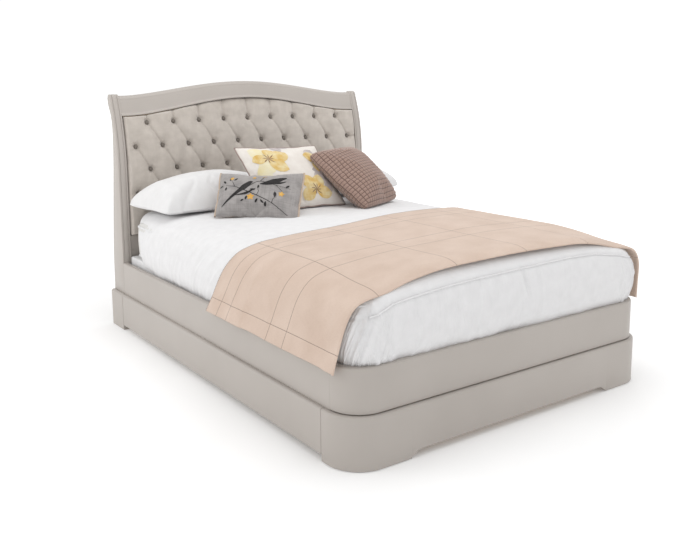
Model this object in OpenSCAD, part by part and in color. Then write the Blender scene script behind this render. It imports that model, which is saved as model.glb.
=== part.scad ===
// King-size sleigh bed with a low curved foot, a tufted headboard, a hidden
// drawer under the foot, and its mattress, bedding and cushions.
// Origin: on the floor, midway between the foot and the back of the headboard.
// +Y points to the headboard, +X to the right as seen from the foot, +Z up.

/* [Bed frame] */
// Width over the side rails
frame_w = 1600; // [1560:10:1640]
// Length from the foot to the front of the headboard posts
frame_l = 2100; // [2090:5:2130]
// Height of the top edge of the rails
rail_top = 370; // [366:1:374]
// Height of the top edge of the plinth
plinth_top = 200; // [190:1:205]
// How far the plinth stands out from the rails
plinth_out = 16; // [12:1:18]
// Thickness of the rails
rail_t = 28; // [26:1:30]
// Thickness of the plinth boards
plinth_t = 22; // [20:1:24]
// Outer radius of the foot corners
corner_r = 125; // [120:1:130]
// Gap below the side plinths
plinth_gap = 28; // [20:1:32]

/* [Headboard] */
// Height of the headboard at its middle
head_h = 1335; // [1320:5:1350]
// Rise of the crest above its ends
crest_rise = 74; // [60:1:80]
// Width of each post
post_w = 48; // [46:1:50]
// Depth of the block under each post
block_d = 164; // [160:1:170]
// Height where the posts start to curl back
curl_z = 880; // [870:5:890]
// Radius of the backward curl
curl_r = 1000; // [980:10:1020]
// Space between two buttons of a row
button_step = 154; // [150:1:156]
// Space between two rows of buttons
row_step = 129; // [126:1:130]

/* [Drawer] */
// Outer width of the drawer box
drawer_w = 1380; // [1340:10:1390]
// Depth of the drawer box behind its front
drawer_l = 700; // [650:10:720]
// Radius of the castor wheels
wheel_r = 22; // [20:1:23]

/* [Bedding] */
// Width of the mattress
mattress_w = 1500; // [1480:5:1500]
// Length of the mattress
mattress_l = 2000; // [1980:5:2000]
// Height of the mattress top
mattress_top = 602; // [600:1:604]
// Height of the duvet top
duvet_top = 655; // [652:1:656]

/* [Hidden] */

$fn = 48;
paint = "#bfb8b1";
timber = "#c9a97c";
steel = "#9aa0a6";
linen = "#f2f1f1";
eps = 0.3;

half_w = frame_w / 2;
total_l = frame_l + plinth_out + block_d;
head_y = total_l / 2 - block_d;
foot_y = head_y - frame_l;
plinth_x = half_w + plinth_out;
rail_in = half_w - rail_t;
foot_in = foot_y + rail_t;
corner_x = half_w - corner_r;
corner_y = foot_y + corner_r;
drawer_seam_y = corner_y + 34;
post_in = half_w - post_w;
post_top = 1246;

// The headboard's front line as seen from the side: upright, then curled back.
function lean(z) = z < curl_z ? 0 : curl_r - sqrt(pow(curl_r, 2) - pow(z - curl_z, 2));

// The crest as seen from the front: 1 at the middle, 0 near the posts.
function crest(x) = pow((1 + cos(180 * min(abs(x), 720) / 720)) / 2, 0.75);

// A smooth line through points, with n steps between each two.
function spline_at(a, b, c, d, t) = 0.5 * (2 * b + (c - a) * t
    + (2 * a - 5 * b + 4 * c - d) * t * t + (3 * b - a - 3 * c + d) * t * t * t);
function spline(p, n) = [for (i = [0 : len(p) - 2], k = [0 : n - 1])
    spline_at(p[max(i - 1, 0)], p[i], p[i + 1], p[min(i + 2, len(p) - 1)], k / n)];

module bar(from, to) translate(from) cube(to - from);

module mirrored(left) mirror([left ? 1 : 0, 0, 0]) children();

// A side view (Y, Z) stretched along X, and a front view (X, Z) stretched along Y.
module along_x(x0, x1) translate([x0, 0, 0]) rotate([90, 0, 90]) linear_extrude(x1 - x0) children();
module along_y(y0, y1) translate([0, y1, 0]) rotate([90, 0, 0]) linear_extrude(y1 - y0) children();

// ---- Headboard ----

curl = [for (i = [0 : 10]) let (z = curl_z + (post_top - curl_z) * i / 10) [lean(z), z]];
nose = [[lean(post_top), post_top], [78, 1261], [93, 1268], [107, 1261], [114, 1244], [113, 1224],
    [100, 1196], [79, 1160], [67, 1112], [64, 1045], [76, 900], [105, 700], [140, 420], [148, plinth_top]];

module post_outline() translate([head_y, 0])
    polygon(concat([[0, plinth_top]], curl, [for (p = spline(nose, 4)) if (p != nose[0]) p],
        [[148, plinth_top]]));

module flute(x) along_x(x, x + 3) translate([head_y, 0])
    polygon(concat([[-5, rail_top + 4], [2.5, rail_top + 4]], [for (p = curl) [p[0] + 2.5, p[1]]],
        [[lean(post_top) + 2.5, 1290], [-5, 1290]]));

module post(left) color(paint) mirrored(left) difference() {
    along_x(post_in, half_w) post_outline();
    for (x = [post_in + 10, post_in + 16, half_w - 16, half_w - 9]) flute(x);
}

module post_block(left) color(paint) mirrored(left) intersection() {
    along_x(post_in, plinth_x) polygon([[head_y, 0], [total_l / 2, 0], [total_l / 2, plinth_top - 8],
        [total_l / 2 - 8, plinth_top], [head_y, plinth_top]]);
    along_y(head_y, total_l / 2) polygon([[post_in, 0], [plinth_x, 0], [plinth_x, plinth_top - 8],
        [plinth_x - 8, plinth_top], [post_in, plinth_top]]);
}

panel_low = 515;
panel_top = head_h - crest_rise - 105;
rail_low = panel_top + 10;

// Section of the top rail: front face, rolled top, back face.
rail_section = concat(
    [for (i = [0 : 5]) let (z = rail_low + (1240 - rail_low) * i / 5) [lean(z), z]],
    [[78, 1254], [92, 1261], [105, 1254], [112, 1240], [111, 1222], [99, 1195], [84, rail_low]]);

function sweep_ring(x) = [for (p = rail_section) [x, head_y + p[0], p[1] + crest_rise * crest(x)]];
sweep_x = [for (i = [-20 : 20]) (post_in - eps) * i / 20];
ring_n = len(rail_section);

module top_rail() color(paint) polyhedron(
    points = [for (x = sweep_x) for (p = sweep_ring(x)) p],
    faces = concat(
        [[for (k = [0 : ring_n - 1]) k]],
        [for (i = [0 : len(sweep_x) - 2], k = [0 : ring_n - 1]) let (m = (k + 1) % ring_n)
            [i * ring_n + k, (i + 1) * ring_n + k, (i + 1) * ring_n + m, i * ring_n + m]],
        [[for (k = [ring_n - 1 : -1 : 0]) (len(sweep_x) - 1) * ring_n + k]]));

// A bent board that follows the curl, from d0 to d1 behind the front line.
module bent_board(d0, d1, z0, z1) along_x(-half_w, half_w) translate([head_y, 0])
    polygon(concat([[d1, z0], [d0, z0]],
        [for (i = [0 : 7]) let (z = curl_z + (z1 - curl_z) * i / 7) [lean(z) + d0, z]],
        [for (i = [7 : -1 : 0]) let (z = curl_z + (z1 - curl_z) * i / 7) [lean(z) + d1, z]]));

module crest_outline(half, z0, top) polygon(concat([[half, z0], [half, top]],
    [for (i = [19 : -1 : -19]) [half * i / 20, top + crest_rise * crest(half * i / 20)]],
    [[-half, top], [-half, z0]]));

module crested_board(d0, d1, half, z0, top) intersection() {
    bent_board(d0, d1, z0 - 20, top + crest_rise + 20);
    along_y(head_y - 50, head_y + 200) crest_outline(half, z0, top);
}

module lower_panel() color(paint)
    bar([-post_in, head_y + 14, plinth_top + 40], [post_in, head_y + 36, panel_low - 2]);

module backboard() color(paint)
    crested_board(34, 46, post_in, panel_low - 2 + eps, rail_low - 0.5);

module upholstery_board() color(timber)
    crested_board(21.5, 33.5, post_in - 14, panel_low, panel_top - 4);

// Places of the buttons: odd rows hold nine, even rows ten.
button_rows = [for (i = [0 : 4]) [1128 - row_step * i, i % 2 == 0 ? 9 : 10]];
function button_x(k, n) = (k - (n - 1) / 2) * button_step;

module each_button() for (row = button_rows, k = [0 : row[1] - 1])
    translate([button_x(k, row[1]), head_y + lean(row[0]), row[0]]) rotate([90, 0, 0]) children();

module upholstery_pad() color("#c3bcb4") difference() {
    crested_board(-4, 21, post_in - 9, panel_low, panel_top);
    each_button() translate([0, 0, -14]) cylinder(r = 16, h = 40);
}

module tufting_buttons() color("#b5ada5") each_button() translate([0, 0, -13.7]) cylinder(r = 13, h = 10);

// ---- Bed frame ----

module side_rail(left) color(paint) mirrored(left)
    bar([rail_in, corner_y, plinth_top], [half_w, head_y, rail_top]);

module side_plinth(left) color(paint) mirrored(left) along_y(drawer_seam_y + 1, head_y)
    polygon([[plinth_x - plinth_t, plinth_gap], [plinth_x, plinth_gap], [plinth_x, plinth_top - 8],
        [plinth_x - 8, plinth_top], [plinth_x - plinth_t, plinth_top]]);

module side_batten(left) color(timber) mirrored(left)
    bar([rail_in, drawer_seam_y + 6, 60], [plinth_x - plinth_t, head_y, plinth_top]);

module foot_rail() color(paint) bar([-corner_x, foot_y, plinth_top + 3], [corner_x, foot_in, rail_top]);

// A quarter ring round the foot corner's centre.
module quarter(r, t, z0, z1) translate([corner_x, corner_y, z0]) linear_extrude(z1 - z0)
    intersection() {
        difference() {
            circle(r);
            circle(r - t);
        }
        translate([0, -r - 10]) square(r + 10);
    }

module foot_corner(left) color(paint) mirrored(left) quarter(corner_r, rail_t, plinth_top + 3, rail_top);

leg_y = corner_y + 70;

module foot_leg(left) color(timber) mirrored(left) bar([rail_in - 66, corner_y, 0], [rail_in, leg_y, 290]);

module foot_cross_rail() color(timber)
    bar([66 - rail_in, corner_y, plinth_top + 8], [rail_in - 66, corner_y + 28, 290]);

module head_cross_rail() color(timber)
    bar([30 - rail_in, head_y - 28, plinth_top + 8], [rail_in - 30, head_y, 290]);

module slat_ledge(left) color(timber) mirrored(left) bar([rail_in - 30, leg_y, 252], [rail_in, head_y, 290]);

rail_y0 = corner_y + 28;
rail_y1 = head_y - 28;

module centre_rail() color(timber) bar([-35, rail_y0, 222], [35, rail_y1, 290]);

module centre_legs() color(timber) for (y = [100, 540]) bar([-30, y, 0], [30, y + 60, 222]);

slat_n = 13;
slat_pitch = (rail_y1 - 20 - leg_y) / slat_n;
function slat_y(i) = leg_y + 20 + slat_pitch * i;

module each_slat() for (i = [0 : slat_n - 1]) translate([0, slat_y(i), 0]) children();

module slats(left) color("#d8bf94") mirrored(left) each_slat() bar([12, 6, 293], [rail_in - 7, 66, 301]);

// Moulded cups grip the slat ends: a base, two cheeks and a back.
module slat_holders() color("#33363a") for (left = [false, true]) mirrored(left)
    each_slat() difference() {
        bar([rail_in - 30, 0, 290], [rail_in - 2, 72, 301]);
        bar([rail_in - 40, 6 - eps, 293 - eps], [rail_in - 6, 66 + eps, 310]);
    }

module centre_slat_holders() color("#33363a") each_slat() difference() {
    bar([-32, 0, 290], [32, 72, 301]);
    for (left = [false, true]) mirrored(left) bar([11, 6 - eps, 293 - eps], [40, 66 + eps, 310]);
}

// Angle brackets hold the side rails to the posts, two bolts in each.
module head_brackets() color(steel) for (left = [false, true]) mirrored(left) difference() {
    union() {
        bar([rail_in - 4, head_y - 60, 296], [rail_in, head_y, 364]);
        bar([post_in + 1, head_y - 4, 296], [rail_in - 4, head_y, 364]);
    }
    for (z = [314, 346]) translate([rail_in - 10, head_y - 34, z]) rotate([0, 90, 0]) cylinder(r = 4.1, h = 20);
}

module head_bolts() color(steel) for (left = [false, true], z = [314, 346]) mirrored(left)
    translate([rail_in - 4, head_y - 34, z]) rotate([0, -90, 0]) {
        cylinder(r = 8, h = 5);
        translate([0, 0, -4]) cylinder(r = 4, h = 4.5);
    }

// Angle brackets join the foot cross rail to the legs, two bolts in each.
module foot_brackets() color(steel) for (left = [false, true]) mirrored(left) difference() {
    union() {
        bar([rail_in - 70, corner_y + 28, 220], [rail_in - 66, leg_y, 280]);
        bar([rail_in - 110, corner_y + 28, 220], [rail_in - 70, corner_y + 32, 280]);
    }
    for (z = [236, 264]) translate([rail_in - 80, corner_y + 50, z]) rotate([0, 90, 0]) cylinder(r = 4.1, h = 20);
}

module foot_bolts() color(steel) for (left = [false, true], z = [236, 264]) mirrored(left)
    translate([rail_in - 70, corner_y + 50, z]) rotate([0, -90, 0]) {
        cylinder(r = 8, h = 5);
        translate([0, 0, -4]) cylinder(r = 4, h = 4.5);
    }

// Blocks under the cross rail that the drawer's back meets when it is fully out.
module drawer_stops() color("#33363a") for (x = [-500, 500])
    bar([x - 20, corner_y + 2, 170], [x + 20, corner_y + 26, plinth_top + 8]);

// ---- Drawer ----

front_y = foot_y - plinth_out;
front_in = front_y + plinth_t;
front_z0 = 3;
front_z1 = plinth_top;
drawer_r = corner_r + plinth_out;
drawer_x = drawer_w / 2;
back_y = front_in + drawer_l;
base_z = 46;
side_top = 180;

// The straight front, cut away below between two bracket feet.
foot_cut = [[-545, front_z0], [-542, 9], [-532, 11], [-524, 18], [-514, 26], [-500, plinth_gap]];

module drawer_front() color(paint) along_y(front_y, front_in)
    polygon(concat([[-corner_x, front_z0]], foot_cut, [for (i = [5 : -1 : 0]) [-foot_cut[i][0], foot_cut[i][1]]],
        [[corner_x, front_z0], [corner_x, front_z1], [-corner_x, front_z1]]));

module drawer_corner(left) color(paint) mirrored(left) {
    quarter(drawer_r, plinth_t, front_z0, front_z1);
    bar([plinth_x - plinth_t, corner_y, front_z0], [plinth_x, drawer_seam_y - 1, front_z1]);
}

module drawer_side(left) color(timber) mirrored(left)
    bar([drawer_x - 15, front_in + 1, base_z], [drawer_x, back_y, side_top]);

module drawer_back() color(timber)
    bar([15 - drawer_x, back_y - 15, base_z], [drawer_x - 15, back_y, side_top]);

module drawer_base() color(timber)
    bar([15 - drawer_x, front_in, base_z], [drawer_x - 15, back_y - 15, base_z + 12]);

module drawer_corner_blocks() color(timber) for (left = [false, true]) mirrored(left)
    bar([drawer_x, front_in + 6, base_z], [drawer_x + 20, front_in + 40, side_top]);

wheel_w = 18;
castors = [[-560, front_in + 90, "front_left"], [560, front_in + 90, "front_right"],
    [-560, back_y - 90, "back_left"], [560, back_y - 90, "back_right"]];

module at_castor(i) translate([castors[i][0], castors[i][1], wheel_r]) children();

// Fixed castor: a plate with two cheeks that hold the axle.
module castor_housings() color(steel) for (i = [0 : 3]) at_castor(i) difference() {
    union() {
        for (x = [-14, 11]) bar([x, -16, -10], [x + 3, 16, base_z - wheel_r]);
        bar([-14, -24, base_z - wheel_r - 1.5], [14, 24, base_z - wheel_r]);
    }
    rotate([0, 90, 0]) cylinder(r = 3, h = 60, center = true);
}

module castor_axles() color(steel) for (i = [0 : 3]) at_castor(i) rotate([0, 90, 0])
    cylinder(r = 3, h = 32, center = true);

module castor_wheel(i) color("#4a4d50") at_castor(i) rotate([0, 90, 0]) difference() {
    cylinder(r = wheel_r, h = wheel_w, center = true);
    cylinder(r = 3.05, h = wheel_w + 2, center = true);
}

// ---- Mattress, bedding and cushions ----

slat_top = 301;
pad_top = 404;
mattress_x = mattress_w / 2;
mattress_y0 = foot_in + 4;
mattress_y1 = mattress_y0 + mattress_l;
duvet_x = half_w - 14;

// The pad's foot corners follow the frame's rounded corners.
module base_pad() color(linen) translate([0, 0, slat_top + eps]) linear_extrude(pad_top - slat_top - eps)
    let (half = mattress_x + 10, r = 90) {
        translate([-half, mattress_y0 + r]) square([2 * half, head_y - 8 - mattress_y0 - r]);
        translate([r - half, mattress_y0]) square([2 * (half - r), r + 1]);
        for (x = [r - half, half - r]) translate([x, mattress_y0 + r]) circle(r);
    }

module mattress() color(linen)
    bar([-mattress_x, mattress_y0, pad_top + eps], [mattress_x, mattress_y1, mattress_top]);

// A block with its two upper edges rounded, seen from one end.
module rounded_end(half, z0, z1, r) {
    translate([-half, z0]) square([2 * half, z1 - z0 - r]);
    translate([-half + r, z0]) square([2 * (half - r), z1 - z0]);
    for (x = [-half + r, half - r]) translate([x, z1 - r]) circle(r);
}

module duvet() color(linen) difference() {
    intersection() {
        along_y(foot_in - 14, mattress_y1 + 16) rounded_end(duvet_x, rail_top + 6, duvet_top, 110);
        translate([0, (foot_in + mattress_y1 + 2) / 2, 0]) along_x(-duvet_x, duvet_x)
            rounded_end((mattress_y1 + 30 - foot_in) / 2, rail_top + 6, duvet_top, 60);
    }
    bar([-mattress_x - 10 - eps, mattress_y0 - eps, 300], [mattress_x + 10 + eps, mattress_y1 + 60, pad_top + eps]);
    bar([-mattress_x - eps, mattress_y0 - eps, 300], [mattress_x + eps, mattress_y1 + eps, mattress_top + eps]);
}

// The folded throw: across the bed and down both sides to the rails.
throw_t = 8;
throw_x = half_w + eps + 0.2;

module throw() color("#d9bfae") along_y(foot_in + 20, foot_in + 1030) difference() {
    rounded_end(throw_x + throw_t, 350, duvet_top + eps + throw_t, 120);
    translate([0, -1]) rounded_end(throw_x, 340, duvet_top + eps + 1, 112);
}

// A plain pad with rounded corners: width along X, height along Z, thickness along Y.
module plain_pad(w, h, t, r) rotate([90, 0, 0]) linear_extrude(t, center = true) {
    square([w - 2 * r, h], center = true);
    square([w, h - 2 * r], center = true);
    for (x = [-1, 1], y = [-1, 1]) translate([x * (w / 2 - r), y * (h / 2 - r)]) circle(r);
}

// A pad that stands on its lower edge and leans back.
module leaning(corner, turn, back, w, h, t) translate(corner) rotate([0, 0, turn]) rotate([-back, 0, 0])
    translate([w / 2, 0, h / 2 + 14]) plain_pad(w - 20, h - 34, t, 30);

module pillow(left) color(linen) mirrored(left)
    translate([385, head_y - 205, duvet_top + eps + 75]) rotate([90, 0, 0]) plain_pad(690, 340, 150, 60);

module branch_cushion() color("#b9b8ba") leaning([-534, head_y - 576, 676], -33, 44, 422, 285, 60);
module flower_cushion() color("#e6dcc0") leaning([-262, head_y - 640, 676], 0, 46, 450, 450, 60);
module knit_cushion() color("#8f7a6b") leaning([170, head_y - 833, 680], 23, 48, 400, 400, 60);

post(true);  // post_left
post(false);  // post_right
post_block(true);  // post_block_left
post_block(false);  // post_block_right
top_rail();
lower_panel();
backboard();
upholstery_board();
upholstery_pad();
tufting_buttons();
side_rail(true);  // side_rail_left
side_rail(false);  // side_rail_right
side_plinth(true);  // side_plinth_left
side_plinth(false);  // side_plinth_right
side_batten(true);  // side_batten_left
side_batten(false);  // side_batten_right
foot_rail();
foot_corner(true);  // foot_corner_left
foot_corner(false);  // foot_corner_right
foot_leg(true);  // foot_leg_left
foot_leg(false);  // foot_leg_right
foot_cross_rail();
head_cross_rail();
slat_ledge(true);  // slat_ledge_left
slat_ledge(false);  // slat_ledge_right
centre_rail();
centre_legs();
slats(true);  // slats_left
slats(false);  // slats_right
slat_holders();
centre_slat_holders();
head_brackets();
head_bolts();
foot_brackets();
foot_bolts();
drawer_stops();
drawer_front();
drawer_corner(true);  // drawer_corner_left
drawer_corner(false);  // drawer_corner_right
drawer_side(true);  // drawer_side_left
drawer_side(false);  // drawer_side_right
drawer_back();
drawer_base();
drawer_corner_blocks();
castor_housings();
castor_axles();
castor_wheel(0);  // castor_wheel_front_left
castor_wheel(1);  // castor_wheel_front_right
castor_wheel(2);  // castor_wheel_back_left
castor_wheel(3);  // castor_wheel_back_right
base_pad();
mattress();
duvet();
pillow(true);  // pillow_left
pillow(false);  // pillow_right
throw();
branch_cushion();
flower_cushion();
knit_cushion();
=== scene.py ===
# %% [markdown]
# # A dressed king-size sleigh bed
# The bed's frame was designed first as solid parts, and it is loaded here as a fixed frame in metres: +Y
# points to the headboard, +X to the right as seen from the foot, +Z up. Everything below gives that frame
# its looks: paint and timber, a buttoned headboard, and bedding. Nothing in the frame is moved or
# resized.

# %% Load the frame and keep its size
import math

import bpy
import numpy as np
from mathutils import Matrix, Vector, noise


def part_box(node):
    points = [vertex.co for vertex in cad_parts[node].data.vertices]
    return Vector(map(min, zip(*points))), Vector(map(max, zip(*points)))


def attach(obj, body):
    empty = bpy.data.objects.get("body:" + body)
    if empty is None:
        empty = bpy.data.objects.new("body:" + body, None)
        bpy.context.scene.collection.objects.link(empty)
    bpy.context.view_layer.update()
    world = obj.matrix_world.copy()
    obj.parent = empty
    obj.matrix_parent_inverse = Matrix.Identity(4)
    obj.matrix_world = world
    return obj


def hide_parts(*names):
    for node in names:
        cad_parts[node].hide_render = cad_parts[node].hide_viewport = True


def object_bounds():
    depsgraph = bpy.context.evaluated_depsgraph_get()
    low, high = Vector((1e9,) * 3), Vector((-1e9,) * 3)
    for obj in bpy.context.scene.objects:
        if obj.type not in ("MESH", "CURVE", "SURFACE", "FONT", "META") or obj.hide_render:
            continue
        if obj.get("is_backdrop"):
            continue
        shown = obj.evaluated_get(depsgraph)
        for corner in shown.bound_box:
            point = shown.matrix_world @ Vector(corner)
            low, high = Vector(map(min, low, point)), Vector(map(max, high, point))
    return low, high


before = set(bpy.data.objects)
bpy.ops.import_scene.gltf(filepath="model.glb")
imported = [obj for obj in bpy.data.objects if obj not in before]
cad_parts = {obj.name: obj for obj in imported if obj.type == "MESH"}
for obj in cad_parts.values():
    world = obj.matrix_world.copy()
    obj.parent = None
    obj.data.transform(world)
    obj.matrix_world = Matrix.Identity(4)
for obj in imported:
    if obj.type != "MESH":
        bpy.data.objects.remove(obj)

cad_low, cad_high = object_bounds()
print("frame:", len(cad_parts), "nodes,", [round(v, 3) for v in cad_high - cad_low], "m")

# %% [markdown]
# ## Camera
# A camera is a place, three turns and a lens. Building its matrix from the direction it looks in keeps
# the three turns readable. The lens shift lets the camera look only slightly down, so upright posts stay
# nearly parallel, while the bed still sits in the middle of the frame.

# %% Set up the camera
EYE = Vector((-2.3117, -3.2432, 1.3321))
TURN, TILT, ROLL = (math.radians(a) for a in (35.54, 9.30, -0.34))


def look(turn, tilt, roll):
    """The camera's right, up and forward directions."""
    forward = Vector((math.sin(turn) * math.cos(tilt), math.cos(turn) * math.cos(tilt), -math.sin(tilt)))
    level = forward.cross(Vector((0, 0, 1))).normalized()
    upright = level.cross(forward)
    right = level * math.cos(roll) + upright * math.sin(roll)
    return right, upright * math.cos(roll) - level * math.sin(roll), forward


lens = bpy.data.cameras.new("camera")
lens.lens, lens.sensor_width, lens.shift_y = 42.12, 36, -0.093
camera = bpy.data.objects.new("camera", lens)
bpy.context.scene.collection.objects.link(camera)
right, up, forward = look(TURN, TILT, ROLL)
camera.matrix_world = Matrix((right, up, -forward)).transposed().to_4x4()
camera.location = EYE
bpy.context.scene.camera = camera
print("camera stands", round((EYE - Vector((0, 0, 0.5))).length, 2), "m from the bed's middle")

# %% [markdown]
# ## Studio light
# Catalogue pictures of furniture use a white room: soft light from everywhere, a large soft box high on
# the left, and a weak one on the right. A soft box is an area light; the bigger it is, the softer its
# shadows. The world gives the light from everywhere.

# %% Lights and world
def soft_box(name, place, aim, size, power, colour=(1, 1, 1)):
    lamp = bpy.data.lights.new(name, "AREA")
    lamp.shape, lamp.size, lamp.energy, lamp.color = "DISK", size, power, colour
    holder = bpy.data.objects.new(name, lamp)
    bpy.context.scene.collection.objects.link(holder)
    holder.location = place
    holder.rotation_euler = (Vector(aim) - Vector(place)).to_track_quat("-Z", "Y").to_euler()


soft_box("key_box", (-4.6, 1.6, 2.6), (0, 0, 0.4), 3.0, 42, (1.0, 0.99, 0.975))
soft_box("top_box", (0.2, -0.6, 4.4), (0, 0, 0), 3.4, 52)
soft_box("rim_box", (4.2, 2.2, 2.8), (0, 0.2, 0.7), 2.4, 22)

room = bpy.data.worlds.new("white_room")
room.use_nodes = True
backdrop = room.node_tree.nodes["Background"]
backdrop.inputs["Color"].default_value = (1, 1, 1, 1)
light_path = room.node_tree.nodes.new("ShaderNodeLightPath")
brightness = room.node_tree.nodes.new("ShaderNodeMapRange")
brightness.inputs["To Min"].default_value = 0.83
brightness.inputs["To Max"].default_value = 1.05
room.node_tree.links.new(light_path.outputs["Is Camera Ray"], brightness.inputs["Value"])
room.node_tree.links.new(brightness.outputs["Result"], backdrop.inputs["Strength"])
bpy.context.scene.world = room
bpy.context.scene.view_settings.view_transform = "Standard"

# %% [markdown]
# ## Tools for making pieces
# Most pieces here are surfaces that a rule can describe: a section carried along a path, or a cloth that
# follows a shape. numpy works out all the points at once, and one function turns rows of points into a
# smooth mesh.

# %% Make a mesh piece
def piece(name, points, faces, finish, body="bed", uv=None, sharp=35):
    """A smooth mesh with one finish, riding on a body of the frame. uv is one (u, v) in metres per point."""
    mesh = bpy.data.meshes.new(name)
    mesh.from_pydata([tuple(map(float, p)) for p in points], [], [tuple(f) for f in faces])
    mesh.polygons.foreach_set("use_smooth", [True] * len(mesh.polygons))
    mesh.set_sharp_from_angle(angle=math.radians(sharp))
    if uv is not None:
        layer = mesh.uv_layers.new(name="cloth")
        corner = np.zeros(len(mesh.loops), np.int32)
        mesh.loops.foreach_get("vertex_index", corner)
        layer.data.foreach_set("uv", np.asarray(uv, np.float32)[corner].ravel())
    mesh.materials.append(finish)
    made = bpy.data.objects.new(name, mesh)
    bpy.context.scene.collection.objects.link(made)
    if body:
        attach(made, body)
    return made


def grid_faces(rows, columns, start=0, ring=False, flip=False):
    """Four-sided faces between neighbouring points of a grid; ring joins its last column to the first."""
    faces = []
    for r in range(rows - 1):
        for c in range(columns if ring else columns - 1):
            n = (c + 1) % columns
            face = [start + r * columns + c, start + r * columns + n,
                    start + (r + 1) * columns + n, start + (r + 1) * columns + c]
            faces.append(face[::-1] if flip else face)
    return faces


def loft(name, rings, finish, body="bed", sharp=35):
    """A closed solid through equal rings of points, with flat ends."""
    rows, columns = len(rings), len(rings[0])
    points = [p for ring in rings for p in ring]
    faces = grid_faces(rows, columns, ring=True)
    faces.append(list(range(columns))[::-1])
    faces.append(list(range((rows - 1) * columns, rows * columns)))
    return piece(name, points, faces, finish, body, sharp=sharp)


def spline(points, steps):
    """A smooth line through all the points (Catmull-Rom), with that many steps between each two."""
    p = np.array(points, float)
    p = np.vstack([2 * p[0] - p[1], p, 2 * p[-1] - p[-2]])
    t = np.arange(steps)[:, None] / steps
    line = []
    for a, b, c, d in zip(p, p[1:], p[2:], p[3:]):
        square, cube = (2 * a - 5 * b + 4 * c - d) * t**2, (3 * b - a - 3 * c + d) * t**3
        line.append(0.5 * (2 * b + (c - a) * t + square + cube))
    return np.vstack(line + [p[-2:-1]])


def inset(loop, depth):
    """A closed loop of (across, up) points moved inwards; depth is one number or one per point."""
    p = np.array(loop, float)
    along = np.roll(p, -1, 0) - np.roll(p, 1, 0)
    along /= np.maximum(np.linalg.norm(along, axis=1), 1e-9)[:, None]
    inward = np.stack([-along[:, 1], along[:, 0]], 1)
    area = (p[:, 0] * np.roll(p[:, 1], -1) - np.roll(p[:, 0], -1) * p[:, 1]).sum()
    return p + inward * np.sign(area) * np.reshape(depth, (-1, 1))


def smooth_step(low, high, value):
    t = np.clip((value - low) / (high - low), 0, 1)
    return t * t * (3 - 2 * t)


# %% Noise for whole arrays of points
def clouds(x, y, z=0.0, seed=0):
    """Smooth noise from -1 to 1 at arrays of places, the same on every run."""
    shape = np.broadcast(x, y, z).shape
    flat = [np.broadcast_to(a, shape).ravel() + seed * 17.31 for a in (x, y, z)]
    return np.array([noise.noise((a, b, c)) for a, b, c in zip(*flat)]).reshape(shape)


print("tools ready; noise at a sample place:", round(float(clouds(0.3, 0.7)), 3))

# %% [markdown]
# ## Finishes
# Each finish is a small node tree: a colour that varies a little, a roughness, and a bump. `node` adds
# one node and fills its sockets, so a tree reads like a recipe. Plain numbers go straight on the shader.

# %% Node tools and a new finish
def node(tree, kind, settings=None, **sockets):
    """Adds a shader node. A keyword names a socket, with _ for a space, or _0 and up for its number."""
    made = tree.nodes.new("ShaderNode" + kind)
    for key, value in (settings or {}).items():
        setattr(made, key, value)
    for key, value in sockets.items():
        socket = made.inputs[int(key[1:])] if key[0] == "_" else made.inputs[key.replace("_", " ")]
        if isinstance(value, bpy.types.NodeSocket):
            tree.links.new(value, socket)
        else:
            socket.default_value = value
    return made


def maths(tree, operation, *values):
    """One step of arithmetic on sockets and numbers; gives back its result."""
    numbered = {f"_{k}": value for k, value in enumerate(values)}
    return node(tree, "Math", {"operation": operation}, **numbered).outputs[0]


def new_finish(name, roughness=0.6, metal=0.0, sheen=0.0, specular=0.5):
    made = bpy.data.materials.new(name)
    made.use_nodes = True
    shader = made.node_tree.nodes["Principled BSDF"]
    shader.inputs["Roughness"].default_value = roughness
    shader.inputs["Metallic"].default_value = metal
    shader.inputs["Specular IOR Level"].default_value = specular
    if sheen:
        shader.inputs["Sheen Weight"].default_value = sheen
        shader.inputs["Sheen Roughness"].default_value = 0.4
    return made, made.node_tree, shader


def place_coords(tree, scale):
    """The point's own place in metres, stretched by scale."""
    coords = node(tree, "TexCoord")
    return node(tree, "Mapping", Vector=coords.outputs["Object"], Scale=scale).outputs["Vector"]


def cloth_coords(tree, scale):
    """The place in the flat cloth, in metres, stretched by scale."""
    coords = node(tree, "UVMap", {"uv_map": "cloth"})
    return node(tree, "Mapping", Vector=coords.outputs["UV"], Scale=scale).outputs["Vector"]


def two_tone(tree, mask, dark, light, low=0.3, high=0.7):
    """A colour between dark and light, chosen by a grey mask."""
    ramp = node(tree, "ValToRGB", Fac=mask)
    ramp.color_ramp.elements[0].position, ramp.color_ramp.elements[1].position = low, high
    ramp.color_ramp.elements[0].color, ramp.color_ramp.elements[1].color = (*dark, 1), (*light, 1)
    return ramp.outputs["Color"]


def add_bump(tree, shader, height, strength, depth, below=None):
    bump = node(tree, "Bump", Height=height, Strength=strength, Distance=depth)
    if below is not None:
        tree.links.new(below, bump.inputs["Normal"])
    tree.links.new(bump.outputs["Normal"], shader.inputs["Normal"])
    return bump.outputs["Normal"]


# %% [markdown]
# ### Paint
# Satin furniture paint isn't perfectly even: the brush leaves very fine lines along each board, and the
# colour drifts a little. One function makes the finish for boards that run along X, Y or Z, by stretching
# the noise.

# %% Paint along each direction
PAINT_DARK, PAINT_LIGHT = (0.430, 0.393, 0.360), (0.470, 0.432, 0.398)


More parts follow.
